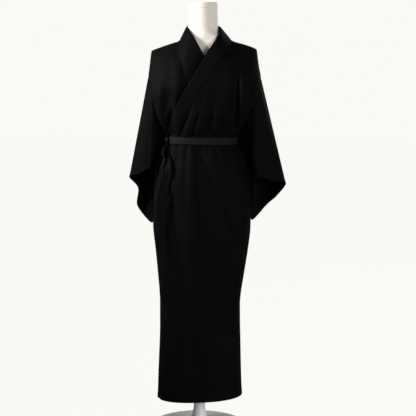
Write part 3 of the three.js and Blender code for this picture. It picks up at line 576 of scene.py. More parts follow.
def yoke_grid(side, face, layer, lower, inner):
    """Rows above the underarm, blended between the lower row, inner edge, armhole and top line."""
    share = np.linspace(0, 1, lower.shape[0])[None, :]
    row = YOKE[:, None]
    up = climb(row)
    inside, low = 1 - share, 1 - up
    inner_now, inner_low, inner_top = inner(row), inner(0.0), inner(float(YOKE_ROWS))
    arm_now, arm_low = armhole(side, row), armhole(side, 0.0)
    top, top_end = top_line(side, share, face), top_line(side, np.array(1.0), face)
    out = []
    for axis, bottom in ((0, lower[None, :, 0]), (1, UNDERARM)):
        blend = low * bottom + up * top[axis] + inside * inner_now[axis] + share * arm_now[axis]
        blend = blend - inside * low * inner_low[axis] - share * low * arm_low[axis]
        out.append(blend - inside * up * inner_top[axis] - share * up * top_end[axis])
    points = on_chest(face, *out, layer)
    shoulder = np.abs(points[-1, :, 0]) > SIDES[side]["neck"] - NECK_MARGIN if face > 0 else slice(None)
    points[-1, shoulder, 1] = 0
    return points


def closed_curve(points, steps):
    """Smooth closed curve through points, with a number of steps between two of them."""
    p = np.array(points, float)
    n = len(p)
    out = []
    for k in range(n * steps):
        i, w = divmod(k, steps)
        w /= steps
        a, b, c, d = p[(i - 1) % n], p[i], p[(i + 1) % n], p[(i + 2) % n]
        ta, tb, tc = (max(np.linalg.norm(v) ** 0.5, 1e-4) for v in (b - a, c - b, d - c))
        start = ((b - a) / ta - (c - a) / (ta + tb) + (c - b) / tb) * tb
        end = ((c - b) / tb - (d - b) / (tb + tc) + (d - c) / tc) * tb
        cubic = 2 * b - 2 * c + start + end
        square = -3 * b + 3 * c - 2 * start - end
        out.append(b + start * w + square * w ** 2 + cubic * w ** 3)
    return np.array(out)


# Meshes: relief of hems and seams, and the angles in degrees above which edges stay crisp
HEM = {"rise": 0.7, "past": 1.5, "span": 2.5, "thicker": 1.6}
SEAM = {"rise": -0.9, "reach": 3.5}
CRISP_CLOTH = 50
CRISP_KNOT = 80
CRISP_FORM = 60
CRISP_LATHE = 35


def grid_normals(grid, hint, ring=False):
    """Unit normals of a grid of points, from its neighbours, on the side that the hint points to."""
    wide = np.concatenate([grid[:, -1:], grid, grid[:, :1]], axis=1) if ring else grid
    across = np.gradient(wide, axis=1)
    if ring:
        across = across[:, 1:-1]
    normal = np.cross(across, np.gradient(grid, axis=0))
    normal = normal / np.maximum(np.linalg.norm(normal, axis=-1, keepdims=True), 1e-9)
    return -normal if np.sum(normal * hint) < 0 else normal


def way_along(grid, axis):
    """Distance along the cloth of each point from the first row or column."""
    steps = np.linalg.norm(np.diff(grid, axis=axis), axis=-1)
    return np.insert(np.cumsum(steps, axis=axis), 0, 0, axis=axis)


def new_object(name, data):
    obj = bpy.data.objects.new(name, data)
    bpy.context.scene.collection.objects.link(obj)
    return obj


def mesh_object(name, verts, faces, crisp_above, uvs=None):
    """Closed mesh, smooth but for the edges above an angle in degrees."""
    mesh = bpy.data.meshes.new(name)
    mesh.from_pydata([tuple(v) for v in np.asarray(verts) * MM], [], faces)
    if uvs is not None:
        layer = mesh.uv_layers.new(name="cloth")
        index = np.zeros(len(mesh.loops), int)
        mesh.loops.foreach_get("vertex_index", index)
        layer.data.foreach_set("uv", np.asarray(uvs, float)[index].ravel())
    mesh.validate()
    mesh.update()
    obj = new_object(name, mesh)
    fix_winding(mesh)
    mesh.shade_smooth()
    mesh.set_sharp_from_angle(angle=math.radians(crisp_above))
    return obj


def cloth(name, grid, out_hint, ring=False, thickness=CLOTH, hems=(), seams=(), hem_depth=HEM_FOLD):
    """Closed thin wall from a grid of points on its outside. out_hint gives the side that faces out."""
    normal = grid_normals(grid, out_hint, ring)
    side, down = way_along(grid, 1), way_along(grid, 0)
    ends = {"low": down, "high": down[-1:] - down, "first": side, "last": side[:, -1:] - side}
    lift = np.zeros(side.shape)
    thick = np.full(side.shape, float(thickness))
    for edge in hems:
        relief = HEM["rise"] * smooth((hem_depth + HEM["past"] - ends[edge]) / HEM["span"])
        lift += relief
        thick += HEM["thicker"] * relief
    for edge in seams:
        lift += SEAM["rise"] * bell(ends[edge], SEAM["reach"])
    outer = grid + normal * lift[..., None]
    inner = outer - normal * thick[..., None]
    verts = np.concatenate([outer.reshape(-1, 3), inner.reshape(-1, 3)])
    uv = np.stack([side, down], axis=-1).reshape(-1, 2) * MM
    obj = mesh_object(name, verts, wall_faces(*side.shape, ring), CRISP_CLOTH, np.concatenate([uv, uv]))
    return obj


def wall_faces(rows, cols, ring):
    total = rows * cols
    cells = cols if ring else cols - 1
    r, c = np.meshgrid(np.arange(rows - 1), np.arange(cells), indexing="ij")
    r, c = r.ravel(), c.ravel()
    n = (c + 1) % cols
    a, b, d, e = r * cols + c, r * cols + n, (r + 1) * cols + n, (r + 1) * cols + c
    faces = np.concatenate([np.stack([a, b, d, e], 1), total + np.stack([a, e, d, b], 1)]).tolist()
    for k in range(cells):
        m = (k + 1) % cols
        top = (rows - 1) * cols
        faces.append([k, total + k, total + m, m])
        faces.append([top + k, top + m, total + top + m, total + top + k])
    if not ring:
        last = cols - 1
        for k in range(rows - 1):
            a, b = k * cols, (k + 1) * cols
            faces.append([a, b, total + b, total + a])
            faces.append([a + last, total + a + last, total + b + last, b + last])
    return faces


def fix_winding(mesh):
    """Turns a closed mesh inside out where its volume comes out below zero."""
    co = np.zeros(len(mesh.vertices) * 3)
    mesh.vertices.foreach_get("co", co)
    mesh.calc_loop_triangles()
    tri = np.zeros(len(mesh.loop_triangles) * 3, int)
    mesh.loop_triangles.foreach_get("vertices", tri)
    a, b, c = (co.reshape(-1, 3)[tri.reshape(-1, 3)[:, k]] for k in range(3))
    if np.sum(a * np.cross(b, c)) < 0:
        mesh.flip_normals()


def finish_piece(obj, material, stands_for=None):
    obj.data.materials.append(material)
    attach(obj, "root")
    if stands_for:
        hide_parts(stands_for)


# Materials: noises as scale, detail and roughness, gloss as steps round the roughness, lengths in metres
THREAD_SPACING = 0.00055
WEAVE = {
    "dye": (9.0, 5.0, 0.6), "dye_places": (0.3, 0.75), "slub": (240.0, 3.0, 0.7), "gloss": (-0.08, 0.1),
    "fine": {"Strength": 0.35, "Distance": 0.00012}, "soft": {"Strength": 0.25, "Distance": 0.0006},
}
NAP = {
    "Specular IOR Level": 0.045, "Sheen Weight": 0.007, "Sheen Roughness": 0.45,
    "Sheen Tint": (0.8, 0.85, 1.0, 1),
}
COVER = {
    "cloud": 4.0, "cloud_places": (0.3, 0.7), "grain": (600.0, 2.0), "gloss": (-0.06, 0.08), "depth": 0.0003,
}


def new_material(name):
    material = bpy.data.materials.new(name)
    material.use_nodes = True
    return material, material.node_tree, material.node_tree.nodes["Principled BSDF"]


def set_inputs(node, values):
    for socket, value in values.items():
        node.inputs[socket].default_value = value


def add(tree, kind, output, links=(), **values):
    """One output of a new node, with its values set and its sockets linked."""
    made = tree.nodes.new(kind)
    for key, value in values.items():
        if hasattr(made, key):
            setattr(made, key, value)
        else:
            made.inputs[key.replace("_", " ")].default_value = value
    for socket, source in links:
        tree.links.new(source, made.inputs[socket])
    return made.outputs[output]


def noise(tree, scale, detail, roughness=0.5):
    place = add(tree, "ShaderNodeTexCoord", "Object")
    values = {"Scale": scale, "Detail": detail, "Roughness": roughness}
    return add(tree, "ShaderNodeTexNoise", "Fac", [("Vector", place)], **values)


def threads(tree, across):
    """Height of the threads that run one way, by the distance across them."""
    turns = add(tree, "ShaderNodeMath", 0, [(0, across)], operation="MULTIPLY")
    turns.node.inputs[1].default_value = 2 * math.pi / THREAD_SPACING
    return add(tree, "ShaderNodeMath", 0, [(0, turns)], operation="SINE")


def mottle(tree, shader, source, places, colours):
    """Base colour between two colours, by a source between two values."""
    ramp = tree.nodes.new("ShaderNodeValToRGB")
    for element, place, colour in zip(ramp.color_ramp.elements, places, colours):
        element.position = place
        element.color = (*colour, 1)
    tree.links.new(source, ramp.inputs["Fac"])
    tree.links.new(ramp.outputs["Color"], shader.inputs["Base Color"])


def uneven_gloss(tree, shader, source, roughness, steps):
    low, high = (roughness + step for step in steps)
    rough = add(tree, "ShaderNodeMapRange", "Result", [("Value", source)], To_Min=low, To_Max=high)
    tree.links.new(rough, shader.inputs["Roughness"])


def woven_cloth(name, dark, light, roughness):
    """Plain dark weave: crossed threads as a fine bump, uneven dye, soft nap."""
    material, tree, shader = new_material(name)
    place = add(tree, "ShaderNodeUVMap", "UV", uv_map="cloth")
    split = add(tree, "ShaderNodeSeparateXYZ", "X", [(0, place)]).node.outputs
    warp, weft = threads(tree, split["X"]), threads(tree, split["Y"])
    weave = add(tree, "ShaderNodeMath", 0, [(0, warp), (1, weft)], operation="MULTIPLY")
    dye, slub = noise(tree, *WEAVE["dye"]), noise(tree, *WEAVE["slub"])
    mottle(tree, shader, dye, WEAVE["dye_places"], (dark, light))
    uneven_gloss(tree, shader, slub, roughness, WEAVE["gloss"])
    fine = add(tree, "ShaderNodeBump", "Normal", [("Height", weave)], **WEAVE["fine"])
    sources = [("Height", slub), ("Normal", fine)]
    soft = add(tree, "ShaderNodeBump", "Normal", sources, **WEAVE["soft"])
    tree.links.new(soft, shader.inputs["Normal"])
    set_inputs(shader, NAP)
    return material


def smooth_cover(name, low, high, roughness, scale, bump):
    """Smooth painted or covered surface with faint mottling and a fine grain."""
    material, tree, shader = new_material(name)
    cloud, grain = noise(tree, scale, COVER["cloud"]), noise(tree, *COVER["grain"])
    mottle(tree, shader, cloud, COVER["cloud_places"], (low, high))
    uneven_gloss(tree, shader, grain, roughness, COVER["gloss"])
    values = {"Strength": bump, "Distance": COVER["depth"]}
    relief = add(tree, "ShaderNodeBump", "Normal", [("Height", grain)], **values)
    tree.links.new(relief, shader.inputs["Normal"])
    return material


CLOTH_MATERIAL = woven_cloth("black_cloth", (0.0017, 0.0018, 0.0019), (0.0028, 0.0029, 0.0031), 0.72)
BELT_MATERIAL = woven_cloth("belt_cloth", (0.0085, 0.0085, 0.011), (0.0125, 0.0125, 0.0158), 0.6)
# Knot, loop and tails: a darker copy of the belt cloth, whose darkness is painted shade
BELT_PAINTED_SHADE_MATERIAL = woven_cloth("belt_cloth_painted_shade", (0.0024, 0.0025, 0.0031), (0.0038, 0.0039, 0.0048), 0.55)
COVER_MATERIAL = smooth_cover("cream_cover", (0.83, 0.78, 0.68), (0.88, 0.83, 0.73), 0.62, 14.0, 0.15)
PAINT_MATERIAL = smooth_cover("white_paint", (0.84, 0.84, 0.82), (0.88, 0.88, 0.87), 0.36, 10.0, 0.08)


# Body panels
FRONT_COUNT = {"over": 64, "under": 56}
OVERLAP_COUNT = {"over": 36, "under": 24}
BACK_COUNT = 61
BACK_MIDDLE = 179.99


def front_grid(layer):
    side, table, _ = LAYERS[layer]
    low = low_grid(table, "strip", "side", FRONT_COUNT[layer], layer)
    high = yoke_grid(side, -1, layer, low[-1], lambda row: strip_on_chest(layer, row))
    return np.concatenate([low, high])


def overlap_grid(layer):
    _, low_table, high_table = LAYERS[layer]
    low = low_grid(low_table, "edge", "strip", OVERLAP_COUNT[layer], layer)
    end, z = strip_on_chest(layer, YOKE[YOKE <= STRIP_TIP_ROW][:, None])
    start = read(high_table, "seam", z)
    share = np.linspace(0, 1, OVERLAP_COUNT[layer])[None, :]
    high = on_chest(-1, start + (end - start) * share, z + 0 * share, layer)
    return np.concatenate([low, high])


def back_grid(side):
    layer = "under" if side == "left" else "over"
    middle = SIDES[side]["sign"] * BACK_MIDDLE
    outer = "side" if side == "right" else lambda z: 0 * z - 90
    low = low_grid(OVER_LOW, lambda z: 0 * z + middle, outer, BACK_COUNT, layer)
    high = yoke_grid(side, 1, "back", low[-1], lambda row: (0.0 * row, chest_height(row, side)))
    grid = np.concatenate([low, high])
    grid[:, 0, 0] = 0
    return grid


def outward(grid):
    """Direction away from the upright axis at each point."""
    return grid * np.array([1.0, 1.4, 0.0]) + np.array([0, 0, 1e-3])


GRIDS = {
    "front_left": front_grid("over"),
    "front_right": front_grid("under"),
    "overlap_left": overlap_grid("over"),
    "overlap_right": overlap_grid("under"),
    "back_left": back_grid("right"),
    "back_right": back_grid("left"),
}


def body_panels():
    for name, grid in GRIDS.items():
        seams = ["last"] if name.startswith("overlap") else ["first", "last"]
        piece = cloth(name + "_cloth", grid, outward(grid), hems=["low"], seams=seams)
        finish_piece(piece, CLOTH_MATERIAL, name)


# Sleeves
SLEEVE_ROWS = 70
SLEEVE_HEM = 10.0
RING = 24
SLEEVE_FADE = {"early": 0.02, "start": 0.12, "late": 0.12, "end": 0.3, "seam": 0.06}

# Creases of the sleeves: their place round the ring at the armhole and at the mouth (0 is the top and 24 all
# round), and where they start and end along the sleeve
SLEEVE_CREASES = columns("""
k0 k1 start end width rise
3 2 0.05 0.95 0.8 2.6
5.2 5 0.1 1 0.7 -2.6
7.6 6.6 0 0.8 0.7 3
9.6 8.4 0 0.7 0.6 -3.6
11 10.2 0 0.9 0.7 3.2
13.4 13.6 0 0.8 0.8 -3.2
15.4 15 0 0.9 0.8 3
17.6 17.4 0.05 0.85 0.9 -3
20 20.4 0.1 0.95 1 3
22.4 22 0.15 0.9 0.9 -2.2
""")


def sleeve_ring(front, back):
    """Points round the armhole: down the front edge from the top, then up the back edge."""
    edge_front = front[len(front) - 1 - YOKE_STEPS:, -1][::-1]
    edge_back = back[len(back) - 1 - YOKE_STEPS:, -1]
    return np.concatenate([edge_front, edge_back[1:-1]])


# Part of each sleeve that hangs in behind the waist: its middle and reach round the ring, how far it comes
# in and back, the shares of the sleeve's length where it is full, begins to fade and ends, and how far it is
# kept from the body
SLEEVE_INNER = {
    "middle": 13.0, "reach": 2.6, "inward": 38.0, "back": 29.0, "full": 0.07, "fade": 0.28, "end": 0.72,
    "clear": 9.0, "clear_reach": 6.5, "clear_span": 2,
}


def inner_part(grid, around, share, sign):
    """Shifts the inner side of a sleeve in behind the waist, and keeps it clear of the body."""
    s = SLEEVE_INNER
    away = around - s["middle"]
    begin = smooth(share / s["full"])
    along = begin * (1 - smooth((share - s["fade"]) / (s["end"] - s["fade"])))
    sag = along * bell(away, s["reach"])
    x = grid[..., 0] - sign * s["inward"] * sag
    y = grid[..., 1] + s["back"] * sag
    z = grid[..., 2]
    margin = s["clear"] * begin * smooth((s["clear_reach"] - np.abs(away)) / s["clear_span"])
    width, depth = half_width(x, z) + margin, by_face(BODY, y, z) + margin
    level = (np.abs(x) / width) ** ROUND + (np.abs(y) / depth) ** ROUND
    push = np.where(share > 0, np.maximum(1, np.maximum(level, 1e-6) ** (-1 / ROUND)), 1)
    return np.stack([x * push, y * push, z], axis=-1)


def sleeve_grid(front, back, mouth):
    """Points of a sleeve from the armhole to its mouth, and their outward directions."""
    start = sleeve_ring(front, back)
    end = closed_curve(mouth, len(start) // len(mouth))
    share = np.linspace(0, 1, SLEEVE_ROWS)[:, None]
    grid = start[None] + (end - start)[None] * share[..., None]
    around = np.arange(grid.shape[1])[None, :] * RING / grid.shape[1]
    grid = inner_part(grid, around, share + 0 * around, np.sign(mouth[0][0]))
    normal = grid_normals(grid, grid - grid.mean(axis=1, keepdims=True), True)
    f = SLEEVE_FADE
    lift = np.zeros(grid.shape[:2])
    for k0, k1, begin, stop, width, rise in zip(*SLEEVE_CREASES.values()):
        away = (around - (k0 + (k1 - k0) * share) + RING / 2) % RING - RING / 2
        ends = smooth((share - begin + f["early"]) / f["start"])
        ends = ends * smooth((stop + f["late"] - share) / f["end"])
        lift += rise * ends * bell(away, width)
    return grid + normal * (lift * smooth(share / f["seam"]))[..., None], normal


def sleeves():
    for name, mouth in (("left", MOUTH_RIGHT), ("right", MOUTH_LEFT)):
        grid, normal = sleeve_grid(GRIDS["front_" + name], GRIDS["back_" + name], mouth)
        name = "sleeve_" + name
        edges = {"hems": ["high"], "seams": ["low"], "hem_depth": SLEEVE_HEM}
        piece = cloth(name + "_cloth", grid, normal, ring=True, **edges)
        finish_piece(piece, CLOTH_MATERIAL, name)


# Collar band
BAND_COUNT = 17
BAND_RISE = 49.0
BAND_RISE_ROW = 5.0
BAND_NAPE = {"side": 60.0, "back": 63.0, "z": 1491.0}
BAND_THICKNESS = 2.6
BAND_RAISED = 1.1
NAPE_ROWS = 19
RELAX_REACH = 9
RELAX_ROUNDS = 12


def collar_front(layer):
    side, low, high = LAYERS[layer]
    turn = -BAND_TURN if layer == "over" else BAND_TURN
    rows = low_grid(low, "edge", lambda z: read(low, "edge", z) + turn, BAND_COUNT, layer, BAND_END)
    row = YOKE[:, None]
    z = chest_height(row, side)
    free_z = z + BAND_RISE * smooth((row - BAND_RISE_ROW) / (YOKE_ROWS - BAND_RISE_ROW))
    seam, free = read(high, "seam", z), read(high, "free", free_z)
    share = np.linspace(0, 1, BAND_COUNT)[None, :]
    chest = on_chest(-1, seam + (free - seam) * share, z + (free_z - z) * share, layer)
    chest[-1, 0, 1] = 0
    return np.concatenate([rows, chest])


def collar_nape(side):
    """Rows of the band from the middle of the back toward one side."""
    s = SIDES[side]
    turn = np.radians(np.linspace(0, 90, NAPE_ROWS)[:-1])[:, None]
    seam = on_chest(1, s["sign"] * s["neck"] * np.sin(turn), s["neck_z"], "back")
    free_x = s["sign"] * BAND_NAPE["side"] * np.sin(turn)
    free = np.stack([free_x, BAND_NAPE["back"] * np.cos(turn), np.full(turn.shape, BAND_NAPE["z"])], axis=-1)
    return seam + (free - seam) * np.linspace(0, 1, BAND_COUNT)[None, :, None]


def relax(grid, first, last):
    """Evens out the rows between two places, but for the seam's column."""
    for _ in range(RELAX_ROUNDS):
        around = (grid[first - 1:last - 1, 1:] + grid[first + 1:last + 1, 1:]) / 2
        grid[first:last, 1:] = grid[first:last, 1:] * 0.5 + around * 0.5


def collar():
    under, over = collar_front("under"), collar_front("over")
    left, right = collar_nape("left"), collar_nape("right")
    grid = np.concatenate([under, left[1:][::-1], right, over[::-1]])
    left_join = len(under)
    for join in (left_join, left_join + len(left) - 1 + len(right)):
        relax(grid, join - RELAX_REACH, join + RELAX_REACH)
    share = np.linspace(-1, 1, BAND_COUNT)[None, :]
    rounded = BAND_RAISED * (1 - np.abs(share) ** 6)
    grid = grid + grid_normals(grid, outward(grid)) * rounded[..., None]
    piece = cloth("collar_cloth", grid, outward(grid), thickness=BAND_THICKNESS)
    finish_piece(piece, CLOTH_MATERIAL, "collar")


# Belt and what hangs from it
BELT_CLEAR = 0.8
BELT_WALL = 2.0
BELT = {
    "rows": 13, "count": 240, "uneven": 0.4, "puff": 0.7, "ripple": 0.25, "pressed": 0.6, "thickness": 1.6,
}
BELT_WAVES = ((0.5, 3, 40), (0.4, 7, 0))
SECOND_TURN = {
    "from": -66, "to": 12, "count": 90, "narrower": 1.2, "climb": 1.6, "drop": 0.6, "thickness": 1.2,
    "slant_start": 0.78, "slant": 0.8, "puff": 0.6, "out": 2.4, "tuck": 1.5, "tuck_start": 0.94,
}
KNOT = {"angle": -68.0, "width": 28.0, "height": 26.0, "depth": 15.0, "rows": 40, "cols": 56, "pole": 0.04}
KNOT_WRAPS = ((0.09, 6.5, 2.2, 0.6), (0.05, -4, 9, 0))
KNOT_WRAPPED = 0.05
KNOT_WEAVE = (12, 13)


def beside_body(angle, z, out):
    """Points at a distance from the layer on top, as the solids place the belt, and their directions out."""
    angle, z, out = together(angle, z, out)
    level = np.where(np.abs(z - BELT_HEIGHT) < BELT_WIDTH / 2, WAIST_EDGE, z)
    point, ahead, behind = (at_angle(angle + step, level, lift_of=large_folds) for step in (0, 1, -1))
    ahead = ahead - behind
    normal = np.stack([ahead[..., 1], -ahead[..., 0], 0 * ahead[..., 0]], axis=-1)
    normal /= np.linalg.norm(normal, axis=-1, keepdims=True)
    point = point + normal * (BELT_CLEAR + BELT_WALL + out)[..., None]
    point[..., 2] = z
    return point, normal


def turn_of_belt(name, angle, z, out, thickness, ring=False):
    """A strip of the sash round the waist, at heights z and at a distance out."""
    points, normal = beside_body(angle + 0 * z, z * 0 + BELT_HEIGHT, out)
    points[..., 2] = z
    return cloth(name, points, normal, ring=ring, thickness=thickness)


def belt():
    """Two turns of the narrow sash: a whole ring, and the second turn over the front from the knot."""
    b, s = BELT, SECOND_TURN
    share = np.linspace(-1, 1, b["rows"])[:, None]
    flat = 1 - np.abs(share) ** 4
    angle = np.linspace(-180, 180, b["count"], endpoint=False)[None, :]
    uneven = sum(rise * np.sin(np.radians(angle * count + start)) for rise, count, start in BELT_WAVES)
    z = BELT_HEIGHT + share * BELT_WIDTH / 2 + b["uneven"] * uneven
    out = b["puff"] * flat + b["ripple"] * np.sin(share * 5 + np.radians(angle * 4)) - b["pressed"]
    ring = turn_of_belt("belt_cloth", angle, z, out, b["thickness"], ring=True)
    finish_piece(ring, BELT_MATERIAL, "belt")
    angle = np.linspace(s["from"], s["to"], s["count"])[None, :]
    along = (angle - s["from"]) / (s["to"] - s["from"])
    z = BELT_HEIGHT + share * (BELT_WIDTH / 2 - s["narrower"]) + s["climb"] * along - s["drop"]
    slant = smooth((along - s["slant_start"]) / (1 - s["slant_start"]))
    z = z - slant * (share + 1) * 0.5 * (BELT_WIDTH * s["slant"])
    tuck = smooth((along - s["tuck_start"]) / (1 - s["tuck_start"]))
    out = s["puff"] * flat + s["out"] - s["tuck"] * tuck
    over = turn_of_belt("belt_second_turn", angle, z, out, s["thickness"])
    finish_piece(over, BELT_MATERIAL)


def ring_points(rows, cols):
    """Number of each point in the rings but the last, with its neighbour's round the ring."""
    return [(r * cols + c, r * cols + (c + 1) % cols) for r in range(rows - 1) for c in range(cols)]


def knot_faces(rows, cols):
    faces = [[a, a + cols, b + cols, b] for a, b in ring_points(rows, cols)]
    return faces + [list(range(cols)), list(range((rows - 1) * cols, rows * cols))[::-1]]


def knot():
    """The tied knot: one rounded lump with the grooves of its wraps."""
    v = np.linspace(KNOT["pole"], np.pi - KNOT["pole"], KNOT["rows"])[:, None]
    u = np.linspace(0, 2 * np.pi, KNOT["cols"], endpoint=False)[None, :]
    x, y, z = np.sin(v) * np.cos(u), np.sin(v) * np.sin(u), np.cos(v) + 0 * u
    wrap = sum(rise * np.sin(down * z + across * x + start) for rise, down, across, start in KNOT_WRAPS)
    swell = 1 + (wrap - KNOT_WRAPPED) * (1 - np.abs(z) ** 6)
    half = np.array([KNOT["width"], KNOT["depth"], KNOT["height"]]) / 2
    local = np.stack([x * swell, y * swell, z * swell], axis=-1) * half
    centre, normal = beside_body(KNOT["angle"], BELT_HEIGHT, SEAM_GAP + KNOT["depth"] / 2)
    spin = np.array(Matrix.Rotation(math.atan2(normal[1], normal[0]) + math.pi / 2, 3, "Z"))
    points = (local @ spin.T + centre).reshape(-1, 3)
    uv = np.stack(np.broadcast_arrays(u * KNOT_WEAVE[0], v * KNOT_WEAVE[1]), axis=-1).reshape(-1, 2) * MM
    piece = mesh_object("belt_knot_cloth", points, knot_faces(KNOT["rows"], KNOT["cols"]), CRISP_KNOT, uv)
    finish_piece(piece, BELT_PAINTED_SHADE_MATERIAL, "belt_knot")


LOOP = columns("""
out z angle
9.8 1073.1 -68
14.4 1068 -67.5
17.5 1050 -62.5
16 1036 -59
12 1029 -58
8 1034 -59
6.5 1050 -62.5
6.2 1067 -67
""")
LOOP_WIDTH = {"top": 7.0, "bottom": 30.0, "fall": 40.0}
LOOP_STEPS = 12
LOOP_ROWS = 15
LOOP_THICKNESS = 1.1
LOOP_GATHER = {"top": 0.8, "pleats": 9, "all": 0.4, "waves": 5}


def belt_loop():
    points, _ = beside_body(LOOP["angle"], LOOP["z"], LOOP["out"])
    middle = closed_curve(points, LOOP_STEPS)
    _, normal = beside_body(KNOT["angle"], BELT_HEIGHT, 0)
    sideways = np.array([-normal[1], normal[0], 0])
    fall = np.clip((LOOP["z"][0] - middle[:, 2]) / LOOP_WIDTH["fall"], 0, 1)
    width = LOOP_WIDTH["top"] + (LOOP_WIDTH["bottom"] - LOOP_WIDTH["top"]) * fall
    share = np.linspace(-1, 1, LOOP_ROWS)[:, None]
    grid = middle[None] + sideways * (share * width[None] / 2)[..., None]
    away = grid - grid.mean(axis=1, keepdims=True)
    away /= np.maximum(np.linalg.norm(away, axis=-1, keepdims=True), 1e-6)
    g = LOOP_GATHER
    pleats = g["top"] * np.sin(share * g["pleats"]) * (1 - fall)[None]
    gather = pleats + g["all"] * np.sin(share * g["waves"] + 1)
    grid = grid + away * gather[..., None]
    piece = cloth("belt_loop_cloth", grid, away, ring=True, thickness=LOOP_THICKNESS)
    finish_piece(piece, BELT_PAINTED_SHADE_MATERIAL, "belt_loop")


TAIL_A = columns("""
angle out z turn width
-59.3 10 872 -58 24
-57.9 9 900 -62 24
-55.4 7 940 -66 23
-54.5 6 985 -66 20
-58 4 1024 -60 13
-64.5 2.5 1045 -62 10
-69 3 1060 -66 8
-71.3 7 1073.3 -67 6
""")
TAIL_B = columns("""
angle out z turn width
-49.3 20 691 -4 24.5
-48.4 16 750 -4 24.5
-47.8 14 820 -4 24.5
-46.8 15 890 -6 24.5
-44.8 15 940 -10 22
-42.6 14 985 -18 18
-44 7 1018 -28 13
-49 4 1030 -38 11
-56 3 1045 -50 10
-62 3 1060 -60 8
-64.7 7 1073.3 -62 6
""")
TAIL = {
    "step": 3, "cols": 17, "pleated": 110, "pleat_rise": 1.3, "pleats": 8, "sway": 0.7, "sway_length": 34,
    "thickness": 1.0, "hem": 6.0,
}


def tail(name, table, phase):
    """Strip of belt cloth, pleated where it leaves the knot and nearly flat at its end."""
    top, bottom = table["z"][-1], table["z"][0]
    z = np.linspace(top, bottom, int((top - bottom) / TAIL["step"]))
    angle, out, turn, width = (read(table, key, z) for key in ("angle", "out", "turn", "width"))
    point, _ = beside_body(angle, z, out)
    across = np.stack([np.cos(np.radians(turn)), np.sin(np.radians(turn)), 0 * turn], axis=-1)
    share = np.linspace(-1, 1, TAIL["cols"])[None, :]
    grid = point[:, None] + across[:, None] * (share * width[:, None] / 2)[..., None]
    pleated = 1 - smooth((top - z) / TAIL["pleated"])[:, None]
    wave = TAIL["pleat_rise"] * pleated * np.sin(share * TAIL["pleats"] + phase)
    wave = wave + TAIL["sway"] * np.sin(z[:, None] / TAIL["sway_length"] + phase) * share
    grid = grid + grid_normals(grid, outward(grid)) * wave[..., None]
    hem = {"thickness": TAIL["thickness"], "hems": ["high"], "hem_depth": TAIL["hem"]}
    finish_piece(cloth(name + "_cloth", grid, outward(grid), **hem), BELT_PAINTED_SHADE_MATERIAL, name)


# Dress form and stand
FORM_COUNT = 112
FORM_LEVELS = (
    FORM_BOTTOM, 846, 848, 850, 854, 860, 870, 880, 897, 915, 937, 960, 982, 1005, 1025, 1045, 1065,
    1086, 1108, 1130, 1152, 1175, 1197, 1220, 1240, 1260, 1280, 1300, 1320, 1340, 1355, 1370, 1381,
    1392, 1397, 1402, 1405, 1409, 1412, 1416, 1419, 1423, 1426, 1430, 1433, 1436, 1439, 1443, 1447,
    1452, 1458, 1464, 1471, 1478, 1485, 1492, 1507, 1522, 1537, 1548, NECK_TOP,
)
NECK_BLEND = (1440.0, 35.0)
HALVINGS = 30
CORNER_STEPS = 6
CLOSED = 0.01
CAP_EDGES = (1, 5)
CAP_FLAT = 30
POLE_RING = 800.0
BASE_EDGE = 3
BASE_DISH = (140, 12.6)
FLARE = columns(f"""
z r
14 90
20 56
30 40
50 29
74 23
{POLE_BOTTOM - SEAM_GAP} {POLE_RADIUS}
""")
FLARE_ROWS = 30


def form_reach(side, z):
    """Distance from the middle at which the form's shoulder line comes down to a height."""
    near, far = FORM_TOP_LINE["z"][0], FORM_TOP_LINE["z"][-1]
    for _ in range(HALVINGS):
        middle = (near + far) / 2
        if read(FORM_TOP_LINE, side, middle) > z:
            near = middle
        else:
            far = middle
    return min(near, float(read(FORM, "side", z)))


def form_ring(z):
    turn = 2 * np.pi * np.arange(FORM_COUNT) / FORM_COUNT
    across, out = np.sin(turn), -np.cos(turn)
    radius = np.where(across < 0, form_reach("left", z), form_reach("right", z))
    x = squared(across) * radius
    reach, roll = fall_off(x / read(FORM, "side", z), by_side(FORM_TOP_LINE, x, np.abs(x)) - z)
    y = np.sign(out) * by_face(FORM, out, z) * reach * roll
    neck = smooth((z - NECK_BLEND[0]) / NECK_BLEND[1])
    x, y = x + (radius * across - x) * neck, y + (radius * out - y) * neck
    return np.stack([x, y, np.full(x.shape, float(z))], axis=-1)


def lofted(name, rings, crisp_above):
    """Solid through rings of points, closed at both ends."""
    rings = np.array(rings)
    rows, count = rings.shape[:2]
    faces = [[a, b, b + count, a + count] for a, b in ring_points(rows, count)]
    faces += [list(range(count))[::-1], list(range((rows - 1) * count, rows * count))]
    return mesh_object(name, rings.reshape(-1, 3), faces, crisp_above)


def form_and_stand():
    torso = lofted("form_cover", [form_ring(z) for z in FORM_LEVELS], CRISP_FORM)
    finish_piece(torso, COVER_MATERIAL, "form_torso")
    turned = (
        ("neck_cap", cap_outline(), 96, COVER_MATERIAL),
        ("stand_pole", pole_outline(), 64, PAINT_MATERIAL),
        ("stand_base", base_outline(), 128, PAINT_MATERIAL),
    )
    for name, outline, count, material in turned:
        finish_piece(lathe(name + "_paint", outline, count), material, name)


def rounded_corner(r, z, radius, start):
    """Points of a quarter of a circle from its centre, turning from a start angle in degrees."""
    turns = [math.radians(start + 90 * k / CORNER_STEPS) for k in range(CORNER_STEPS + 1)]
    return [(r + radius * math.cos(turn), z + radius * math.sin(turn)) for turn in turns]


def cap_outline():
    under, over = CAP_EDGES
    low = rounded_corner(CAP_RADIUS - under, CAP_BOTTOM + under, under, -90)
    high = rounded_corner(CAP_RADIUS - over, CAP_TOP - over, over, 0)
    return [(CLOSED, CAP_BOTTOM), *low, *high, (CAP_FLAT, CAP_TOP), (CLOSED, CAP_TOP)]


def pole_outline():
    heights = (POLE_BOTTOM, POLE_RING, FORM_BOTTOM - SEAM_GAP)
    side = [(POLE_RADIUS, z) for z in heights]
    return [(CLOSED, heights[0]), *side, (CLOSED, heights[-1])]


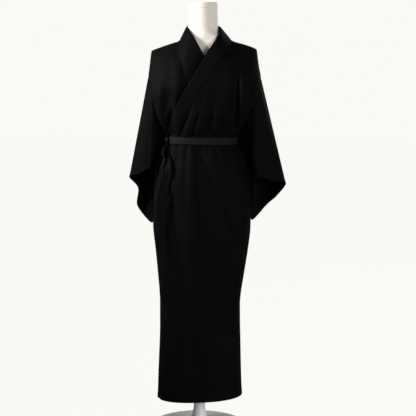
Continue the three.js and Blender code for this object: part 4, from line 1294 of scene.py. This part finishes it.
def base_outline():
    """Outline of the base: a flat plate with rounded edges, and a flare up to the pole."""
    round_from = BASE_RADIUS - BASE_EDGE
    low = rounded_corner(round_from, BASE_EDGE, BASE_EDGE, -90)
    high = rounded_corner(round_from, BASE_THICKNESS - BASE_EDGE, BASE_EDGE, 0)
    heights = np.linspace(FLARE["z"][0], FLARE["z"][-1], FLARE_ROWS)
    curve = [(float(read(FLARE, "r", z)), float(z)) for z in heights]
    return [(CLOSED, 0), *low, *high, BASE_DISH, *curve, (CLOSED, FLARE["z"][-1])]


def lathe(name, outline, count):
    turn = 2 * np.pi * np.arange(count) / count
    rings = [np.stack([r * np.cos(turn), r * np.sin(turn), np.full(count, z)], axis=-1) for r, z in outline]
    return lofted(name, rings, CRISP_LATHE)


# Camera, light and floor
PHOTO = {"size": 416, "focal": 1110.0, "axis_left_of_centre": 6.7}
CAMERA = {"distance": 4.0, "height": 1.405, "pitch": 8.1, "roll": 0.55, "sensor": 36.0, "far": 60}


def camera():
    data = bpy.data.cameras.new("camera")
    data.sensor_width = CAMERA["sensor"]
    data.lens = PHOTO["focal"] / PHOTO["size"] * CAMERA["sensor"]
    data.shift_x = PHOTO["axis_left_of_centre"] / PHOTO["size"]
    data.clip_end = CAMERA["far"]
    obj = new_object("camera", data)
    tilt = Matrix.Rotation(math.radians(90 - CAMERA["pitch"]), 4, "X")
    roll = Matrix.Rotation(math.radians(CAMERA["roll"]), 4, "Z")
    obj.matrix_world = Matrix.Translation((0, -CAMERA["distance"], CAMERA["height"])) @ tilt @ roll
    bpy.context.scene.camera = obj


def area_light(name, place, target, size, power, colour, spread):
    data = bpy.data.lights.new(name, "AREA")
    data.shape = "RECTANGLE"
    data.size, data.size_y = size
    data.energy = power
    data.color = colour
    data.spread = math.radians(spread)
    obj = new_object(name, data)
    obj.location = place
    obj.rotation_euler = (Vector(target) - Vector(place)).to_track_quat("-Z", "Y").to_euler()


STAGE_RADIUS = 14.0
FLOOR_HEIGHT = -0.0006
WORLD = {"Color": (0.97, 0.99, 1.0, 1), "Strength": 0.13}
WALL_GLOW = 1.0
STUDIO_WHITE = (0.947, 0.956, 0.913, 1)
FLOOR_LOOK = {
    "Base Color": (0.03, 0.03, 0.03, 1), "Roughness": 0.9, "Specular IOR Level": 0.1,
    "Emission Color": STUDIO_WHITE, "Emission Strength": 0.985,
}

# Each light's name, place, target, size, power, colour and spread in degrees
LIGHTS = (
    ("key", (-2.75, -0.8, 2.3), (0, 0, 1.5), (0.8, 0.8), 16.0, (0.98, 0.99, 1.0), 54),
    ("fill", (2.4, -2.8, 1.1), (0, 0, 0.9), (1.8, 2.0), 76, (1.0, 1.0, 1.0), 180),
    ("back", (2.2, 2.8, 2.3), (0, 0, 0.9), (1.6, 2.0), 26, (1.0, 1.0, 1.0), 180),
)


def wall_material():
    material = bpy.data.materials.new("studio_wall")
    material.use_nodes = True
    tree = material.node_tree
    tree.nodes.clear()
    glow = add(tree, "ShaderNodeEmission", 0, Color=STUDIO_WHITE, Strength=WALL_GLOW)
    tree.links.new(glow, tree.nodes.new("ShaderNodeOutputMaterial").inputs["Surface"])
    return material


def floor_material():
    material, _, shader = new_material("floor")
    set_inputs(shader, FLOOR_LOOK)
    return material


def stage():
    """A pale floor and a bright wall all round, which the camera sees but which don't light the object."""
    place = (0, 0, FLOOR_HEIGHT)
    bpy.ops.mesh.primitive_circle_add(vertices=96, radius=STAGE_RADIUS, fill_type="NGON", location=place)
    floor = bpy.context.object
    floor.name = "floor"
    floor.data.materials.append(floor_material())
    bpy.ops.mesh.primitive_uv_sphere_add(segments=64, ring_count=32, radius=STAGE_RADIUS)
    wall = bpy.context.object
    wall.name = "studio_wall"
    wall.data.materials.append(wall_material())
    for piece in (floor, wall):
        for ray in ("diffuse", "glossy", "transmission", "volume_scatter", "shadow"):
            setattr(piece, "visible_" + ray, False)


def lights():
    for light in LIGHTS:
        area_light(*light)
    world = bpy.data.worlds.new("world")
    world.use_nodes = True
    set_inputs(world.node_tree.nodes["Background"], WORLD)
    bpy.context.scene.world = world
    view = bpy.context.scene.view_settings
    view.view_transform = "Standard"
    view.look = "None"
    view.exposure = 0
    view.gamma = 1


camera()
stage()
lights()
form_and_stand()
body_panels()
sleeves()
collar()
belt()
knot()
belt_loop()
tail("belt_tail_a", TAIL_A, 0.4)
tail("belt_tail_b", TAIL_B, 2.0)
